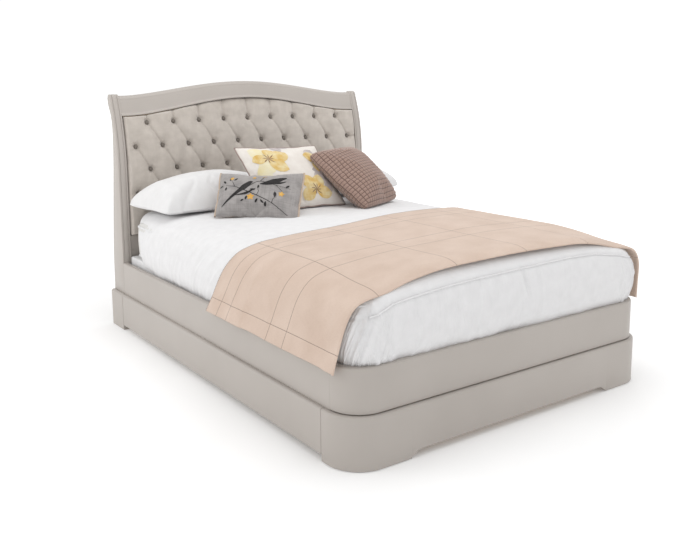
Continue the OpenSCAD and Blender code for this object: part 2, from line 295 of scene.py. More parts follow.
def paint(name, stretch):
    finish, tree, shader = new_finish(name, roughness=0.42, specular=0.4)
    drift = node(tree, "TexNoise", Vector=place_coords(tree, (2.2, 2.2, 2.2)), Scale=1.0, Detail=3.0)
    colour = two_tone(tree, drift.outputs["Fac"], PAINT_DARK, PAINT_LIGHT)
    tree.links.new(colour, shader.inputs["Base Color"])
    brush = node(tree, "TexNoise", Vector=place_coords(tree, stretch), Scale=1.0, Detail=4.0, Roughness=0.6)
    peel = node(tree, "TexNoise", Vector=place_coords(tree, (420, 420, 420)), Scale=1.0, Detail=2.0)
    lines = add_bump(tree, shader, brush.outputs["Fac"], 0.22, 0.0006)
    add_bump(tree, shader, peel.outputs["Fac"], 0.12, 0.0003, below=lines)
    return finish


paint_x = paint("paint_along_x", (6, 260, 260))
paint_y = paint("paint_along_y", (260, 6, 260))
paint_z = paint("paint_along_z", (260, 260, 6))

# %% [markdown]
# ### Timber, metal, plastic and rubber
# These are under the mattress, but they show from below and when the drawer is out. Timber is noise
# stretched along the board for the grain, with rings bent by a slower noise.

# %% Bare timber
def timber(name, dark, light, along, rough=0.6):
    finish, tree, shader = new_finish(name, roughness=rough, specular=0.3)
    across = [34, 34, 34]
    across[along] = 1.6
    bend = node(tree, "TexNoise", Vector=place_coords(tree, (3, 3, 3)), Scale=1.0, Detail=2.0)
    bent = node(tree, "VectorMath", {"operation": "MULTIPLY_ADD"}, _0=bend.outputs["Color"],
                _1=(1.2, 1.2, 1.2), _2=place_coords(tree, across))
    rings = node(tree, "TexNoise", Vector=bent.outputs["Vector"], Scale=1.0, Detail=5.0, Roughness=0.65)
    colour = two_tone(tree, rings.outputs["Fac"], dark, light, 0.34, 0.62)
    tree.links.new(colour, shader.inputs["Base Color"])
    fibre = [900, 900, 900]
    fibre[along] = 18
    pores = node(tree, "TexNoise", Vector=place_coords(tree, fibre), Scale=1.0, Detail=2.0)
    add_bump(tree, shader, pores.outputs["Fac"], 0.25, 0.0004)
    return finish


PINE_DARK, PINE_LIGHT = (0.48, 0.30, 0.15), (0.70, 0.52, 0.33)
pine_x, pine_y, pine_z = (timber(f"pine_along_{n}", PINE_DARK, PINE_LIGHT, i) for i, n in enumerate("xyz"))
beech = timber("sealed_beech", (0.62, 0.44, 0.27), (0.76, 0.60, 0.42), 0, rough=0.4)


# %% Metal, plastic and rubber
def grained(name, dark, light, scale, rough, metal=0.0):
    finish, tree, shader = new_finish(name, roughness=rough, metal=metal)
    grain = node(tree, "TexNoise", Vector=place_coords(tree, scale), Scale=1.0, Detail=4.0)
    tree.links.new(two_tone(tree, grain.outputs["Fac"], dark, light), shader.inputs["Base Color"])
    add_bump(tree, shader, grain.outputs["Fac"], 0.2, 0.0003)
    return finish


zinc = grained("zinc_plate", (0.42, 0.44, 0.46), (0.66, 0.68, 0.70), (60, 60, 60), 0.34, metal=1.0)
bolt_zinc = grained("bolt_zinc", (0.5, 0.5, 0.5), (0.72, 0.72, 0.73), (300, 300, 300), 0.28, metal=1.0)
black_plastic = grained("moulded_plastic", (0.03, 0.03, 0.033), (0.055, 0.055, 0.06), (700, 700, 700), 0.5)
tread = grained("grey_tread", (0.07, 0.07, 0.075), (0.12, 0.12, 0.125), (500, 500, 500), 0.72)
print("finishes so far:", len(bpy.data.materials))

# %% [markdown]
# ## Boards of the frame
# The straight boards already have their right shape, so they only need soft edges and a finish. A weld
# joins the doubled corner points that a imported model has, then a bevel rounds the sharp edges. A real
# arris is never perfectly sharp, and the rounded one catches the light.

# %% Ease the edges of a board and give it a finish
def ease(node_name, finish, width=0.0015):
    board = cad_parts[node_name]
    board.data.materials.clear()
    board.data.materials.append(finish)
    board.modifiers.new("weld", "WELD").merge_threshold = 1e-5
    flat = board.modifiers.new("flat_faces", "DECIMATE")
    flat.decimate_type, flat.angle_limit = "DISSOLVE", math.radians(1)
    if width:
        rounding = board.modifiers.new("eased_edges", "BEVEL")
        rounding.width, rounding.segments, rounding.limit_method = width, 2, "ANGLE"
        rounding.harden_normals = True
        rounding.angle_limit = math.radians(40)
    return board


BOARDS = [
    (paint_z, 0.003, ["post_block_left", "post_block_right"]),
    (paint_x, 0.002, ["lower_panel"]),
    (paint_x, 0.0, ["backboard"]),
    (pine_x, 0.0, ["upholstery_board"]),
    (pine_y, 0.002, ["side_batten_left", "side_batten_right", "slat_ledge_left", "slat_ledge_right",
                     "centre_rail", "drawer_side_left", "drawer_side_right"]),
    (pine_x, 0.002, ["foot_cross_rail", "head_cross_rail", "drawer_back"]),
    (pine_x, 0.001, ["drawer_base"]),
    (pine_z, 0.002, ["foot_leg_left", "foot_leg_right", "centre_legs", "drawer_corner_blocks"]),
    (beech, 0.0015, ["slats_left", "slats_right"]),
    (black_plastic, 0.0006, ["slat_holders", "centre_slat_holders", "drawer_stops"]),
    (zinc, 0.0004, ["head_brackets", "foot_brackets", "castor_housings"]),
    (bolt_zinc, 0.0006, ["head_bolts", "foot_bolts", "castor_axles"]),
    (tread, 0.003, ["castor_wheel_front_left", "castor_wheel_front_right", "castor_wheel_back_left",
                    "castor_wheel_back_right"]),
]
for finish, width, names in BOARDS:
    for name in names:
        ease(name, finish, width)
print("eased boards:", sum(len(names) for _, _, names in BOARDS))

# %% [markdown]
# ## Headboard posts
# A sleigh bed's posts rise straight and then roll backwards. From the side each is one outline, carried
# across the post's width. The front is moulded with two hollows and a raised reed between them, which run
# up and over the scroll. So the loft's rings are the same outline, pushed in by the moulding's depth at
# each step across.

# %% The outline of a post, seen from the side
post_low, post_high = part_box("post_right")
head_y, post_in, half_w, plinth_top = post_low.y, post_low.x, post_high.x, post_low.z
CURL_Z, CURL_R, CREST_RISE, LOW_DROP = 0.880, 1.000, 0.074, 0.013


def lean(z):
    """How far the headboard's front line lies behind the upright at height z."""
    rise = np.maximum(np.asarray(z, float) - CURL_Z, 0)
    return CURL_R - np.sqrt(CURL_R**2 - rise**2)


def crest(x):
    """1 at the middle of the headboard, 0 near the posts."""
    return ((1 + np.cos(np.pi * np.minimum(np.abs(x), 0.72) / 0.72)) / 2) ** 0.75


def low_crest(x):
    """The same for the rail's lower edge, which starts LOW_DROP further down."""
    return (1 + LOW_DROP / CREST_RISE) * crest(x) ** 1.1 - LOW_DROP / CREST_RISE


POST_TOP = 1.246
front_z = np.concatenate([np.linspace(plinth_top, CURL_Z, 8)[:-1], np.linspace(CURL_Z, POST_TOP, 22)])
front = np.stack([lean(front_z), front_z], 1)
scroll = spline([front[-1], (0.078, 1.261), (0.093, 1.268), (0.107, 1.261), (0.114, 1.244),
                 (0.113, 1.224), (0.100, 1.196), (0.079, 1.160), (0.067, 1.112), (0.064, 1.045),
                 (0.076, 0.900), (0.105, 0.700), (0.140, 0.420), (0.148, plinth_top)], 6)
outline = np.vstack([front, scroll[1:]])
behind_front = np.concatenate([np.zeros(len(front)), np.linspace(0, 0.32, len(scroll) - 1)])
moulded = 1 - smooth_step(0.0, 0.10, behind_front)
# (across, depth) in millimetres: a round edge, a hollow, the reed, a hollow and a round edge.
MOULDING = [(0, 2.4), (0.7, 0.8), (2.4, 0), (8.6, 0), (9.0, 2.4), (10.4, 3.4), (11.8, 2.4), (12.4, 0.6),
            (15.5, -0.2), (20, -0.9), (24, -1.2), (28, -0.9), (32.5, -0.2), (35.6, 0.6), (36.2, 2.4),
            (37.6, 3.4), (39.0, 2.4), (39.4, 0), (45.6, 0), (47.3, 0.8), (48, 2.4)]
EDGE = 2.5
POST_WIDTH = MOULDING[-1][0]


def post_rings(side):
    """The post's rings from its inner to its outer face; side is 1 right, -1 left."""
    for across, depth in MOULDING:
        edge = max(0.0, depth) if min(across, POST_WIDTH - across) < EDGE else 0.0
        pushed = inset(outline, (edge + (depth - edge) * moulded) / 1000)
        x = side * (post_in + across / 1000)
        yield [(x, head_y + y, max(z, plinth_top)) for y, z in pushed][::side]


for side, word in ((-1, "left"), (1, "right")):
    post = loft(f"moulded_post_{word}", list(post_rings(side)), paint_z, sharp=28)
    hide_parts(f"post_{word}")
print("post outline:", len(outline), "points, top at", round(float(outline[:, 1].max()), 3), "m")

# %% [markdown]
# ## Top rail
# The top rail has the same roll as the posts, and it climbs to a crest in the middle. One section is
# drawn once and carried along X; at each step its top is lifted by the crest's curve and its lower edge by
# a lower one of its own, and its back reaches the board behind. A small bead runs along its lower edge.

# %% The rolled top rail
rail_low = float(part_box("top_rail")[0].z)
bead = [(0.0045 * math.sin(a), 0.0055 - 0.0045 * math.cos(a)) for a in np.linspace(0.1, math.pi - 0.1, 7)]
face_z = np.linspace(rail_low + 0.013, 1.236, 9)
rail_section = [(0.086, rail_low), (float(lean(rail_low)) + 0.001, rail_low)]
rail_section += [(float(lean(rail_low + z)) - y, rail_low + z) for y, z in bead]
rail_section += [(float(lean(z)) + 0.0015, z) for z in face_z]
rolled_top = spline([(float(lean(1.238)) + 0.0018, 1.238), (0.0700, 1.2460), (0.0765, 1.2535),
                     (0.0850, 1.2590), (0.0955, 1.2605), (0.1060, 1.2555), (0.1120, 1.2420),
                     (0.1120, 1.2240), (0.1000, 1.1960), (0.0880, 1.1750)], 3)
rail_section += [tuple(p) for p in rolled_top]
BEAD_TOP, BLEND, BACK_FROM = 0.011, 0.060, 0.08
stations = np.linspace(-post_in, post_in, 121)


def rail_ring(x):
    """The section at x. Its top follows the crest, its lower edge the low crest; its back meets the board."""
    top_lift, low_lift = CREST_RISE * float(crest(x)), CREST_RISE * float(low_crest(x))
    reach = float(lean(rail_low + top_lift) - lean(rail_low))
    ring = []
    for y, z in rail_section:
        share = min(max((z - rail_low - BEAD_TOP) / BLEND, 0.0), 1.0)
        behind = reach * (1 - share) if y > BACK_FROM else 0.0
        ring.append((x, head_y + y + behind, z + low_lift + (top_lift - low_lift) * share))
    return ring


rings = [rail_ring(x) for x in stations]
top_rail = loft("rolled_top_rail", rings, paint_x, sharp=50)
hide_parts("top_rail")
crest_top = max(v.co.z for v in top_rail.data.vertices)
print("top rail:", len(top_rail.data.polygons), "faces, crest at", round(crest_top, 3))

# %% [markdown]
# ## Side rails, foot and plinth
# All four are long boards with a moulded edge. In a workshop they would be run past a router; here a
# section is carried along a path in plan. The path of the foot goes round two quarter circles, so rail
# and corners become one painted piece, as on the real bed, where the joints are filled and painted over.

# %% Sections and paths
def rounded_board(thick, low, high, top_out, top_in):
    """(out, up) points of a board's section: outer face at 0, inner face at -thick, rounded edges."""
    edge = 0.0015
    corners = [((-edge, low + edge), edge, 270), ((-top_out, high - top_out), top_out, 0),
               ((-thick + top_in, high - top_in), top_in, 90), ((-thick + edge, low + edge), edge, 180)]
    section = []
    for (out, up_z), r, start in corners:
        for k in range(5):
            a = math.radians(start + 22.5 * k)
            section.append((out + r * math.cos(a), up_z + r * math.sin(a)))
    return section


def straight(x, y0, y1, side):
    """A path along one side of the bed, as (x, y, outward x, outward y)."""
    return [(x, y, side, 0.0) for y in (y0, y1)]


def round_the_foot(radius, centre_x, centre_y, return_y, front_steps):
    """Plan points (x, y) with outward directions, from the left side round the foot to the right side."""
    left = [(-centre_x - radius, return_y, -1.0, 0.0)]
    arc = [math.radians(180 + 90 * k / 20) for k in range(21)]
    for a in arc:
        nx, ny = math.cos(a), math.sin(a)
        left.append((-centre_x + radius * nx, centre_y + radius * ny, nx, ny))
    front = [(x, centre_y - radius, 0.0, -1.0) for x in front_steps]
    right_side = [(-x, y, -nx, ny) for x, y, nx, ny in reversed(left)]
    return left + front + right_side


def moulding(name, path, section, finish, body, stands_for, low_edge=None, ease_ends=0.0012):
    """Carries a section along a path in plan. low_edge(x) lifts the section's lower edge."""
    rings = []
    for x, y, nx, ny in path:
        lift = low_edge(x) if low_edge else 0.0
        low = min(z for _, z in section)
        raised = [(out, z + lift if z < low + 0.01 else z) for out, z in section]
        rings.append([(x + nx * out, y + ny * out, z) for out, z in raised])
    if ease_ends:
        for end, towards in ((0, 1), (-1, -2)):
            x, y, nx, ny = path[end]
            tx, ty, _, _ = path[towards]
            step = ease_ends / math.hypot(tx - x, ty - y)
            small = [(x + nx * o, y + ny * o, z) for o, z in inset(section, ease_ends)]
            moved = [(px + (tx - x) * step, py + (ty - y) * step, pz) for px, py, pz in rings[end]]
            rings[end] = moved
            rings.insert(0, small) if end == 0 else rings.append(small)
    made = loft(name, rings, finish, body)
    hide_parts(*stands_for)
    return made


# %% Run the rails and the plinth
rail_lo, rail_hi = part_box("side_rail_right")
rail_t, rail_top, corner_y = half_w - rail_lo.x, rail_hi.z, rail_lo.y
foot_lo, foot_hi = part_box("foot_rail")
corner_x, corner_r = foot_hi.x, corner_y - foot_lo.y
plinth_lo, plinth_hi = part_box("side_plinth_right")
plinth_t = plinth_hi.x - plinth_lo.x

side_section = rounded_board(rail_t, plinth_top, rail_top, 0.007, 0.005)
plinth_section = rounded_board(plinth_t, plinth_lo.z, plinth_top, 0.009, 0.002)
RAIL_JOINT, PLINTH_JOINT = 0.0015, 0.003
for side, word in ((-1, "left"), (1, "right")):
    rail_path = straight(side * half_w, corner_y, head_y - RAIL_JOINT, side)[::side]
    moulding(f"rounded_side_rail_{word}", rail_path, side_section, paint_y, "bed", [f"side_rail_{word}"])
    plinth_path = straight(side * plinth_hi.x, plinth_lo.y, head_y - PLINTH_JOINT, side)[::side]
    moulding(f"moulded_plinth_{word}", plinth_path, plinth_section, paint_y, "bed", [f"side_plinth_{word}"],
             ease_ends=PLINTH_JOINT)

foot_section = rounded_board(rail_t, foot_lo.z, rail_top, 0.007, 0.005)
foot_steps = np.linspace(-corner_x, corner_x, 12)[1:-1]
foot_path = round_the_foot(corner_r, corner_x, corner_y, corner_y + 1e-4, foot_steps)
moulding("curved_foot", foot_path, foot_section, paint_x, "bed",
         ["foot_rail", "foot_corner_left", "foot_corner_right"])
print("foot corners turn with a radius of", round(corner_r, 3), "m")

# %% [markdown]
# ## Drawer front
# The foot part of the plinth is the front of a hidden drawer. It wraps round both corners, and its lower
# edge is cut away between two bracket feet. The cut's ends are a small step and a hollow, so those
# columns of points sit close together.

# %% The wrap-round drawer front
front_lo, front_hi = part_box("drawer_front")
return_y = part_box("drawer_corner_right")[1].y
CUT = [(-0.545, 0.000), (-0.5435, 0.005), (-0.540, 0.0065), (-0.534, 0.008), (-0.529, 0.0115),
       (-0.524, 0.0155), (-0.518, 0.0195), (-0.511, 0.0230), (-0.500, 0.0250)]
cut_x = [x for x, _ in CUT] + list(np.linspace(-0.45, 0.45, 9)) + [-x for x, _ in CUT[::-1]]


def foot_cut(x):
    """How far the lower edge is raised at x."""
    if abs(x) >= -CUT[0][0]:
        return 0.0
    return float(np.interp(-abs(x), *np.array(CUT).T))


drawer_section = rounded_board(plinth_t, front_lo.z, front_hi.z, 0.009, 0.002)
drawer_path = round_the_foot(corner_r + plinth_hi.x - half_w, corner_x, corner_y, return_y, cut_x)
moulding("wrapped_drawer_front", drawer_path, drawer_section, paint_x, "drawer",
         ["drawer_front", "drawer_corner_left", "drawer_corner_right"], low_edge=foot_cut)
print("drawer front is", round(2 * plinth_hi.x, 3), "m wide")

# %% [markdown]
# ## Woven cloth finishes
# All the cloth here is woven: one thread goes over the next and under the one after. Two sine waves, one
# along each thread direction, multiplied together give just that pattern of bumps. A second, stretched
# noise makes the uneven threads that linen and wool have.

# %% A woven cloth
def woven(name, dark, light, pitch, slub=0.0, sheen=0.3, bump=0.35, scale=22.0):
    """Plain-woven cloth with threads pitch metres apart. slub is how uneven the threads are."""
    finish, tree, shader = new_finish(name, roughness=0.85, sheen=sheen, specular=0.2)
    tones = node(tree, "TexNoise", Vector=cloth_coords(tree, (scale, scale, 1)), Scale=1.0, Detail=3.0)
    warp = node(tree, "TexNoise", Vector=cloth_coords(tree, (1 / pitch, 8, 1)), Scale=0.6, Detail=1.0)
    weft = node(tree, "TexNoise", Vector=cloth_coords(tree, (8, 1 / pitch, 1)), Scale=0.6, Detail=1.0)
    threads = maths(tree, "ADD", warp.outputs["Fac"], weft.outputs["Fac"])
    uneven = maths(tree, "MULTIPLY_ADD", threads, slub, -slub)
    mask = maths(tree, "ADD", uneven, tones.outputs["Fac"])
    tree.links.new(two_tone(tree, mask, dark, light), shader.inputs["Base Color"])
    turns = node(tree, "SeparateXYZ", Vector=cloth_coords(tree, (math.pi / pitch, math.pi / pitch, 1)))
    across, along = (maths(tree, "SINE", turns.outputs[axis]) for axis in ("X", "Y"))
    add_bump(tree, shader, maths(tree, "MULTIPLY", across, along), bump, pitch * 0.3)
    return finish


upholstery = woven("headboard_velvet_weave", (0.49, 0.445, 0.400), (0.57, 0.52, 0.47), 0.0011, slub=0.25,
                   sheen=0.6)
# Painted shade: the buttons get a much darker copy of the headboard weave, for the shade in their wells.
shaded_button_cloth = woven("button_weave_painted_shade", (0.165, 0.145, 0.125), (0.225, 0.200, 0.175), 0.0011, slub=0.2,
                     sheen=0.3)
print("woven finishes:", upholstery.name, shaded_button_cloth.name)

# %% [markdown]
# ## Deep-buttoned headboard
# The upholsterer marks a grid of diamonds, pulls the cloth through soft foam with a button at each
# corner, and folds the spare cloth into pleats that run from button to button. The pleats face down, so
# they don't gather dust: each diamond rolls over its lower edge. Above the first row and below the last
# row the pleats run straight to the edge of the pad. So the height of a point depends on how far it is
# from the nearest pleat and button.

# %% Where the buttons and the pleats are
pad_low, pad_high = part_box("upholstery_pad")
STEP, ROW_STEP, TOP_ROW, ROW_SAG = 0.154, 0.129, 1.128, 0.010
pad_half, pad_base, pad_side_top = pad_high.x + 0.004, pad_low.z, pad_high.z - CREST_RISE + 0.0095

button_rows = []
for row in range(5):
    count = 9 + row % 2
    z = TOP_ROW - ROW_STEP * row
    sag = ROW_SAG * (1 - row / 4)
    places = [(k - (count - 1) / 2) * STEP for k in range(count)]
    button_rows.append([(x, z - sag * (1 - float(crest(x)))) for x in places])
buttons = [b for row in button_rows for b in row]

pleats = []
for upper, lower in zip(button_rows, button_rows[1:]):
    pleats += [(a, b) for a in upper for b in lower if abs(a[0] - b[0]) < STEP * 0.6]
pleats += [(b, (b[0], 1.3)) for b in button_rows[0]] + [(b, (b[0], 0.45)) for b in button_rows[-1]]
for row in button_rows[1::2]:
    pleats += [(row[0], (-0.8, row[0][1])), (row[-1], (0.8, row[-1][1]))]
print(len(buttons), "buttons,", len(pleats), "pleats")

# %% Shape the cloth over the foam
xs = np.concatenate([[-pad_half], np.linspace(-pad_half, pad_half, 400), [pad_half]])
share = np.concatenate([[0], np.linspace(0, 1, 190), [1]])
X = np.broadcast_to(xs, (len(share), len(xs)))
top_edge = pad_side_top + CREST_RISE * low_crest(X)
Z = pad_base + share[:, None] * (top_edge - pad_base)

nearest, nearest_pleat, above = np.full(X.shape, 9.0), np.full(X.shape, 9.0), np.zeros(X.shape)
for (ax, az), (bx, bz) in pleats:
    dx, dz = bx - ax, bz - az
    t = np.clip(((X - ax) * dx + (Z - az) * dz) / (dx * dx + dz * dz), 0, 1)
    off_x, off_z = X - ax - t * dx, Z - az - t * dz
    far = np.hypot(off_x, off_z)
    nearest = np.minimum(nearest, far)
    if bx < ax - 0.01:
        continue
    closer = far < nearest_pleat
    nearest_pleat = np.where(closer, far, nearest_pleat)
    above = np.where(closer, np.sign(off_z + off_x), above)
to_button, turn = np.full(X.shape, 9.0), np.zeros(X.shape)
for bx, bz in buttons:
    far = np.hypot(X - bx, Z - bz)
    turn = np.where(far < to_button, np.arctan2(Z - bz, X - bx), turn)
    to_button = np.minimum(to_button, far)

to_pleat = 0.4 * nearest + 0.6 * np.minimum(nearest_pleat, 0.064)
puff = 1 - (1 - np.clip(to_pleat / 0.064, 0, 1)) ** 2
dimple = np.exp(-((to_button / 0.036) ** 1.5))
pocket = np.exp(-((to_button / 0.0185) ** 4))
crease = np.exp(-nearest_pleat / np.where(above > 0, 0.0028, 0.0058))
second_fold = np.exp(-(((nearest_pleat * above + 0.010) / 0.0022) ** 2))
second_fold *= smooth_step(0.02, 0.05, to_button)
gathers = np.cos(7 * turn + 2 * np.sin(41 * X)) * np.exp(-(((to_button - 0.028) / 0.012) ** 2))
soft = clouds(X * 14, Z * 14, 0, 3) * 0.0014 + clouds(X * 45, Z * 45, 0, 4) * 0.0004
height = 0.0055 + 0.0085 * puff - 0.0125 * dimple - 0.0115 * pocket - 0.0066 * crease - 0.0012 * second_fold
height += 0.0009 * gathers + soft * smooth_step(0.004, 0.03, nearest_pleat)
to_edge = np.minimum(np.minimum(pad_half - np.abs(X), Z - pad_base), top_edge - Z)
border = np.sqrt(np.clip(1 - (1 - np.clip(to_edge / 0.015, 0, 1)) ** 2, 0, 1))
height = height * border - 0.015 * (1 - border)
height[0], height[-1], height[:, 0], height[:, -1] = -0.021, -0.021, -0.021, -0.021

slope = np.maximum(Z - CURL_Z, 0) / np.sqrt(CURL_R**2 - np.maximum(Z - CURL_Z, 0) ** 2)
tip = np.sqrt(1 + slope**2)
points = np.stack([X, head_y + lean(Z) - height / tip, Z + height * slope / tip], -1)
headboard_pad = piece("buttoned_headboard_pad", points.reshape(-1, 3), grid_faces(*X.shape), upholstery,
                      uv=np.stack([X, Z], -1).reshape(-1, 2), sharp=70)
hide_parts("upholstery_pad")
print("pad relief:", round(1000 * float(height.max() - height[3:-3, 3:-3].min()), 1), "mm")

# %% [markdown]
# ### The buttons
# Each button is a low dome covered with the same cloth, turned to stand square to the curved headboard.
# Its weave is painted much darker than the pad's, as painted shade for the deep well it sits in.

# %% Make all the buttons in one mesh
DOME = [(0.0100, 0.0150), (0.0118, 0.0135), (0.0122, 0.0112), (0.0112, 0.0080), (0.0088, 0.0052),
        (0.0054, 0.0034), (0.0020, 0.0028)]
dome_points, dome_faces, dome_uv = [], [], []
for bx, bz in buttons:
    tilt = math.asin(max(bz - CURL_Z, 0) / CURL_R)
    back = np.array([0, math.cos(tilt), -math.sin(tilt)])
    rise = np.array([0, math.sin(tilt), math.cos(tilt)])
    middle = np.array([bx, head_y + float(lean(bz)) + 0.0030, bz])
    start = len(dome_points)
    for r, depth in DOME:
        for a in np.linspace(0, 2 * math.pi, 25)[:-1]:
            around = np.array([r * math.cos(a), 0, 0]) + rise * r * math.sin(a)
            dome_points.append(middle + back * depth + around)
            dome_uv.append((bx + r * math.cos(a), bz + r * math.sin(a)))
    dome_faces += grid_faces(len(DOME), 24, start, ring=True)
    dome_faces.append(list(range(start + 24 * (len(DOME) - 1), start + 24 * len(DOME))))
covered_buttons = piece("covered_buttons", dome_points, dome_faces, shaded_button_cloth, uv=dome_uv, sharp=60)
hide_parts("tufting_buttons")
print("buttons stand", round(1000 * (DOME[0][1] - DOME[-1][1])), "mm proud of their wells")

# %% [markdown]
# ## Divan pad and mattress
# Under the duvet lie two upholstered layers: a low base pad in a white cover, which peeps out beside the
# post at the head, and the mattress. Each is a rounded block with piping round its edges and quilted
# ticking. The rings of points run from the middle of the underside, out and up the side, to the middle of
# the top.

# %% Padded blocks
cotton_white = woven("white_cotton_cover", (0.72, 0.72, 0.725), (0.78, 0.78, 0.785), 0.0009, slub=0.1,
                     sheen=0.1)


def quilted(name, dark, light, diamond):
    """Woven ticking with stitched diamonds."""
    finish = woven(name, dark, light, 0.0012, slub=0.2, sheen=0.1, bump=0.2)
    tree = finish.node_tree
    shader = tree.nodes["Principled BSDF"]
    below = shader.inputs["Normal"].links[0].from_socket
    slanted = node(tree, "Mapping", Vector=cloth_coords(tree, (1, 1, 1)), Rotation=(0, 0, math.pi / 4),
                   Scale=(math.pi / diamond, math.pi / diamond, 1))
    turns = node(tree, "SeparateXYZ", Vector=slanted.outputs["Vector"])
    lines = [maths(tree, "ABSOLUTE", maths(tree, "SINE", turns.outputs[axis])) for axis in ("X", "Y")]
    swell = maths(tree, "POWER", maths(tree, "MINIMUM", *lines), 0.4)
    add_bump(tree, shader, swell, 0.8, 0.006, below=below)
    return finish


ticking = quilted("quilted_ticking", (0.66, 0.65, 0.63), (0.74, 0.73, 0.71), 0.11)


def rounded_plan(half_x, y0, y1, radii, shrink=0.0):
    """Plan points round a rectangle with rounded corners, moved inwards by shrink; radii are (foot, head)."""
    per_corner = 10
    points = []
    for sx, sy, start in ((1, 1, 0), (-1, 1, 90), (-1, -1, 180), (1, -1, 270)):
        r = max(radii[sy > 0] - shrink, 0.001)
        cx, cy = sx * (half_x - shrink - r), (y1 - shrink - r) if sy > 0 else (y0 + shrink + r)
        for k in range(per_corner + 1):
            a = math.radians(start + 90 * k / per_corner)
            points.append((cx + r * math.cos(a), cy + r * math.sin(a)))
    return points


def padded_block(name, node_name, radii, finish, soft_edge=0.028, bulge=0.004):
    low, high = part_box(node_name)
    levels = [(0.6, 0, low.z)] + [(soft_edge * (1 - math.sin(a)), 0, low.z + soft_edge * (1 - math.cos(a)))
                                  for a in np.linspace(0, math.pi / 2, 7)]
    height = high.z - low.z
    levels += [(-bulge * math.sin(math.pi * t), 0, low.z + soft_edge + (height - 2 * soft_edge) * t)
               for t in np.linspace(0, 1, 9)[1:-1]]
    levels += [(soft_edge * (1 - math.cos(a)), 0, high.z - soft_edge * (1 - math.sin(a)))
               for a in np.linspace(0, math.pi / 2, 7)]
    levels += [(d, 1, high.z) for d in (0.06, 0.12, 0.25, 0.45, 0.7)]
    rings, uv = [], []
    for shrink, on_top, z in levels:
        inwards = min(shrink, high.x - 0.01)
        ring = [(x, y, z) for x, y in rounded_plan(high.x, low.y, high.y, radii, inwards)]
        rings.append(ring)
        uv += [(x, y) for x, y, _ in ring] if on_top else [(x + y, z) for x, y, z in ring]
    made = loft(name, rings, finish, sharp=60)
    layer = made.data.uv_layers.new(name="cloth")
    for loop in made.data.loops:
        layer.data[loop.index].uv = uv[loop.vertex_index]
    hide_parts(node_name)
    return made


def tube(name, path, radius, finish, closed=True):
    """A piping cord of that radius along a path."""
    sides = 8
    p = np.array(path, float)
    if closed:
        along = np.roll(p, -1, 0) - np.roll(p, 1, 0)
    else:
        along = np.gradient(p, axis=0)
    along /= np.maximum(np.linalg.norm(along, axis=1), 1e-9)[:, None]
    helper = np.where(np.abs(along[:, 2:3]) > 0.9, [[1.0, 0, 0]], [[0, 0, 1.0]])
    side = np.cross(along, helper)
    side /= np.linalg.norm(side, axis=1)[:, None]
    over = np.cross(side, along)
    a = np.linspace(0, 2 * math.pi, sides, endpoint=False)[None, :, None]
    ring = p[:, None] + radius * (np.cos(a) * side[:, None] + np.sin(a) * over[:, None])
    rows = np.vstack([ring, ring[:1]]) if closed else ring
    run = np.concatenate([[0], np.cumsum(np.linalg.norm(np.diff(rows[:, 0], axis=0), axis=1))])
    uv = np.stack(np.broadcast_arrays(run[:, None], np.linspace(0, 0.02, sides)[None]), -1)
    faces = grid_faces(len(rows), sides, ring=True, flip=True)
    return piece(name, rows.reshape(-1, 3), faces, finish, uv=uv.reshape(-1, 2), sharp=80)


padded_block("base_pad_cover", "base_pad", (0.09, 0.012), cotton_white, 0.008, 0.0)
padded_block("quilted_mattress", "mattress", (0.06, 0.06), ticking)
mat_low, mat_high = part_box("mattress")
for word, z in (("lower", mat_low.z + 0.022), ("upper", mat_high.z - 0.022)):
    path = [(x, y, z) for x, y in rounded_plan(mat_high.x, mat_low.y, mat_high.y, (0.06, 0.06))]
    tube(f"mattress_piping_{word}", path, 0.0045, cotton_white)
print("mattress:", [round(v, 3) for v in mat_high - mat_low], "m")

# %% [markdown]
# ## Duvet
# The duvet is spread over the mattress and tucked down inside the rails. Its cloth is a flat rectangle:
# `across` is the distance from the middle line and `along` the place between head and foot. In the middle
# it lies flat. Past the mattress edge it rolls over and runs down the side, along a side line measured by
# its length, so cloth is hardly stretched. At a foot corner the square of spare cloth is packed into a
# quarter turn, and there it gathers in folds.

# %% The side line and the duvet's smooth shape
CORE_X, CORE_FOOT, SIDE_LENGTH = 0.62, -0.975, 0.40
side_line = spline([(0, 0.650), (0.04, 0.646), (0.08, 0.634), (0.115, 0.610), (0.138, 0.575), (0.155, 0.530),
                    (0.163, 0.480), (0.160, 0.430), (0.151, 0.390), (0.142, 0.366), (0.136, 0.345)], 8)
foot_line = spline([(0, 0.650), (0.04, 0.6495), (0.08, 0.6455), (0.114, 0.633), (0.139, 0.603),
                    (0.151, 0.558), (0.156, 0.505), (0.152, 0.450), (0.141, 0.405), (0.126, 0.376), (0.112, 0.350)], 8)


def follow(line, share):
    """(out, height) at a share of a line's length."""
    run = np.concatenate([[0], np.cumsum(np.linalg.norm(np.diff(line, axis=0), axis=1))])
    at = np.clip(share, 0, 1) * run[-1]
    return np.interp(at, run, line[:, 0]), np.interp(at, run, line[:, 1])


def settle(x, y):
    """The soft rise and dips of the filling, shared by the duvet and the throw that lies on it."""
    crown = 0.026 * np.clip(1 - (x / 0.70) ** 2, 0, 1) * (1 - 0.4 * smooth_step(0.3, 0.9, y))
    droop = 0.036 * smooth_step(0.34, 0.78, np.abs(x)) * smooth_step(0.65, 1.05, -y)
    droop = droop + 0.016 * smooth_step(0.50, 0.76, np.abs(x)) * smooth_step(0.80, 1.06, -y)
    return crown - droop + 0.005 * clouds(x * 2.6, y * 2.6, 0, 5) * smooth_step(-1.08, -0.9, y)


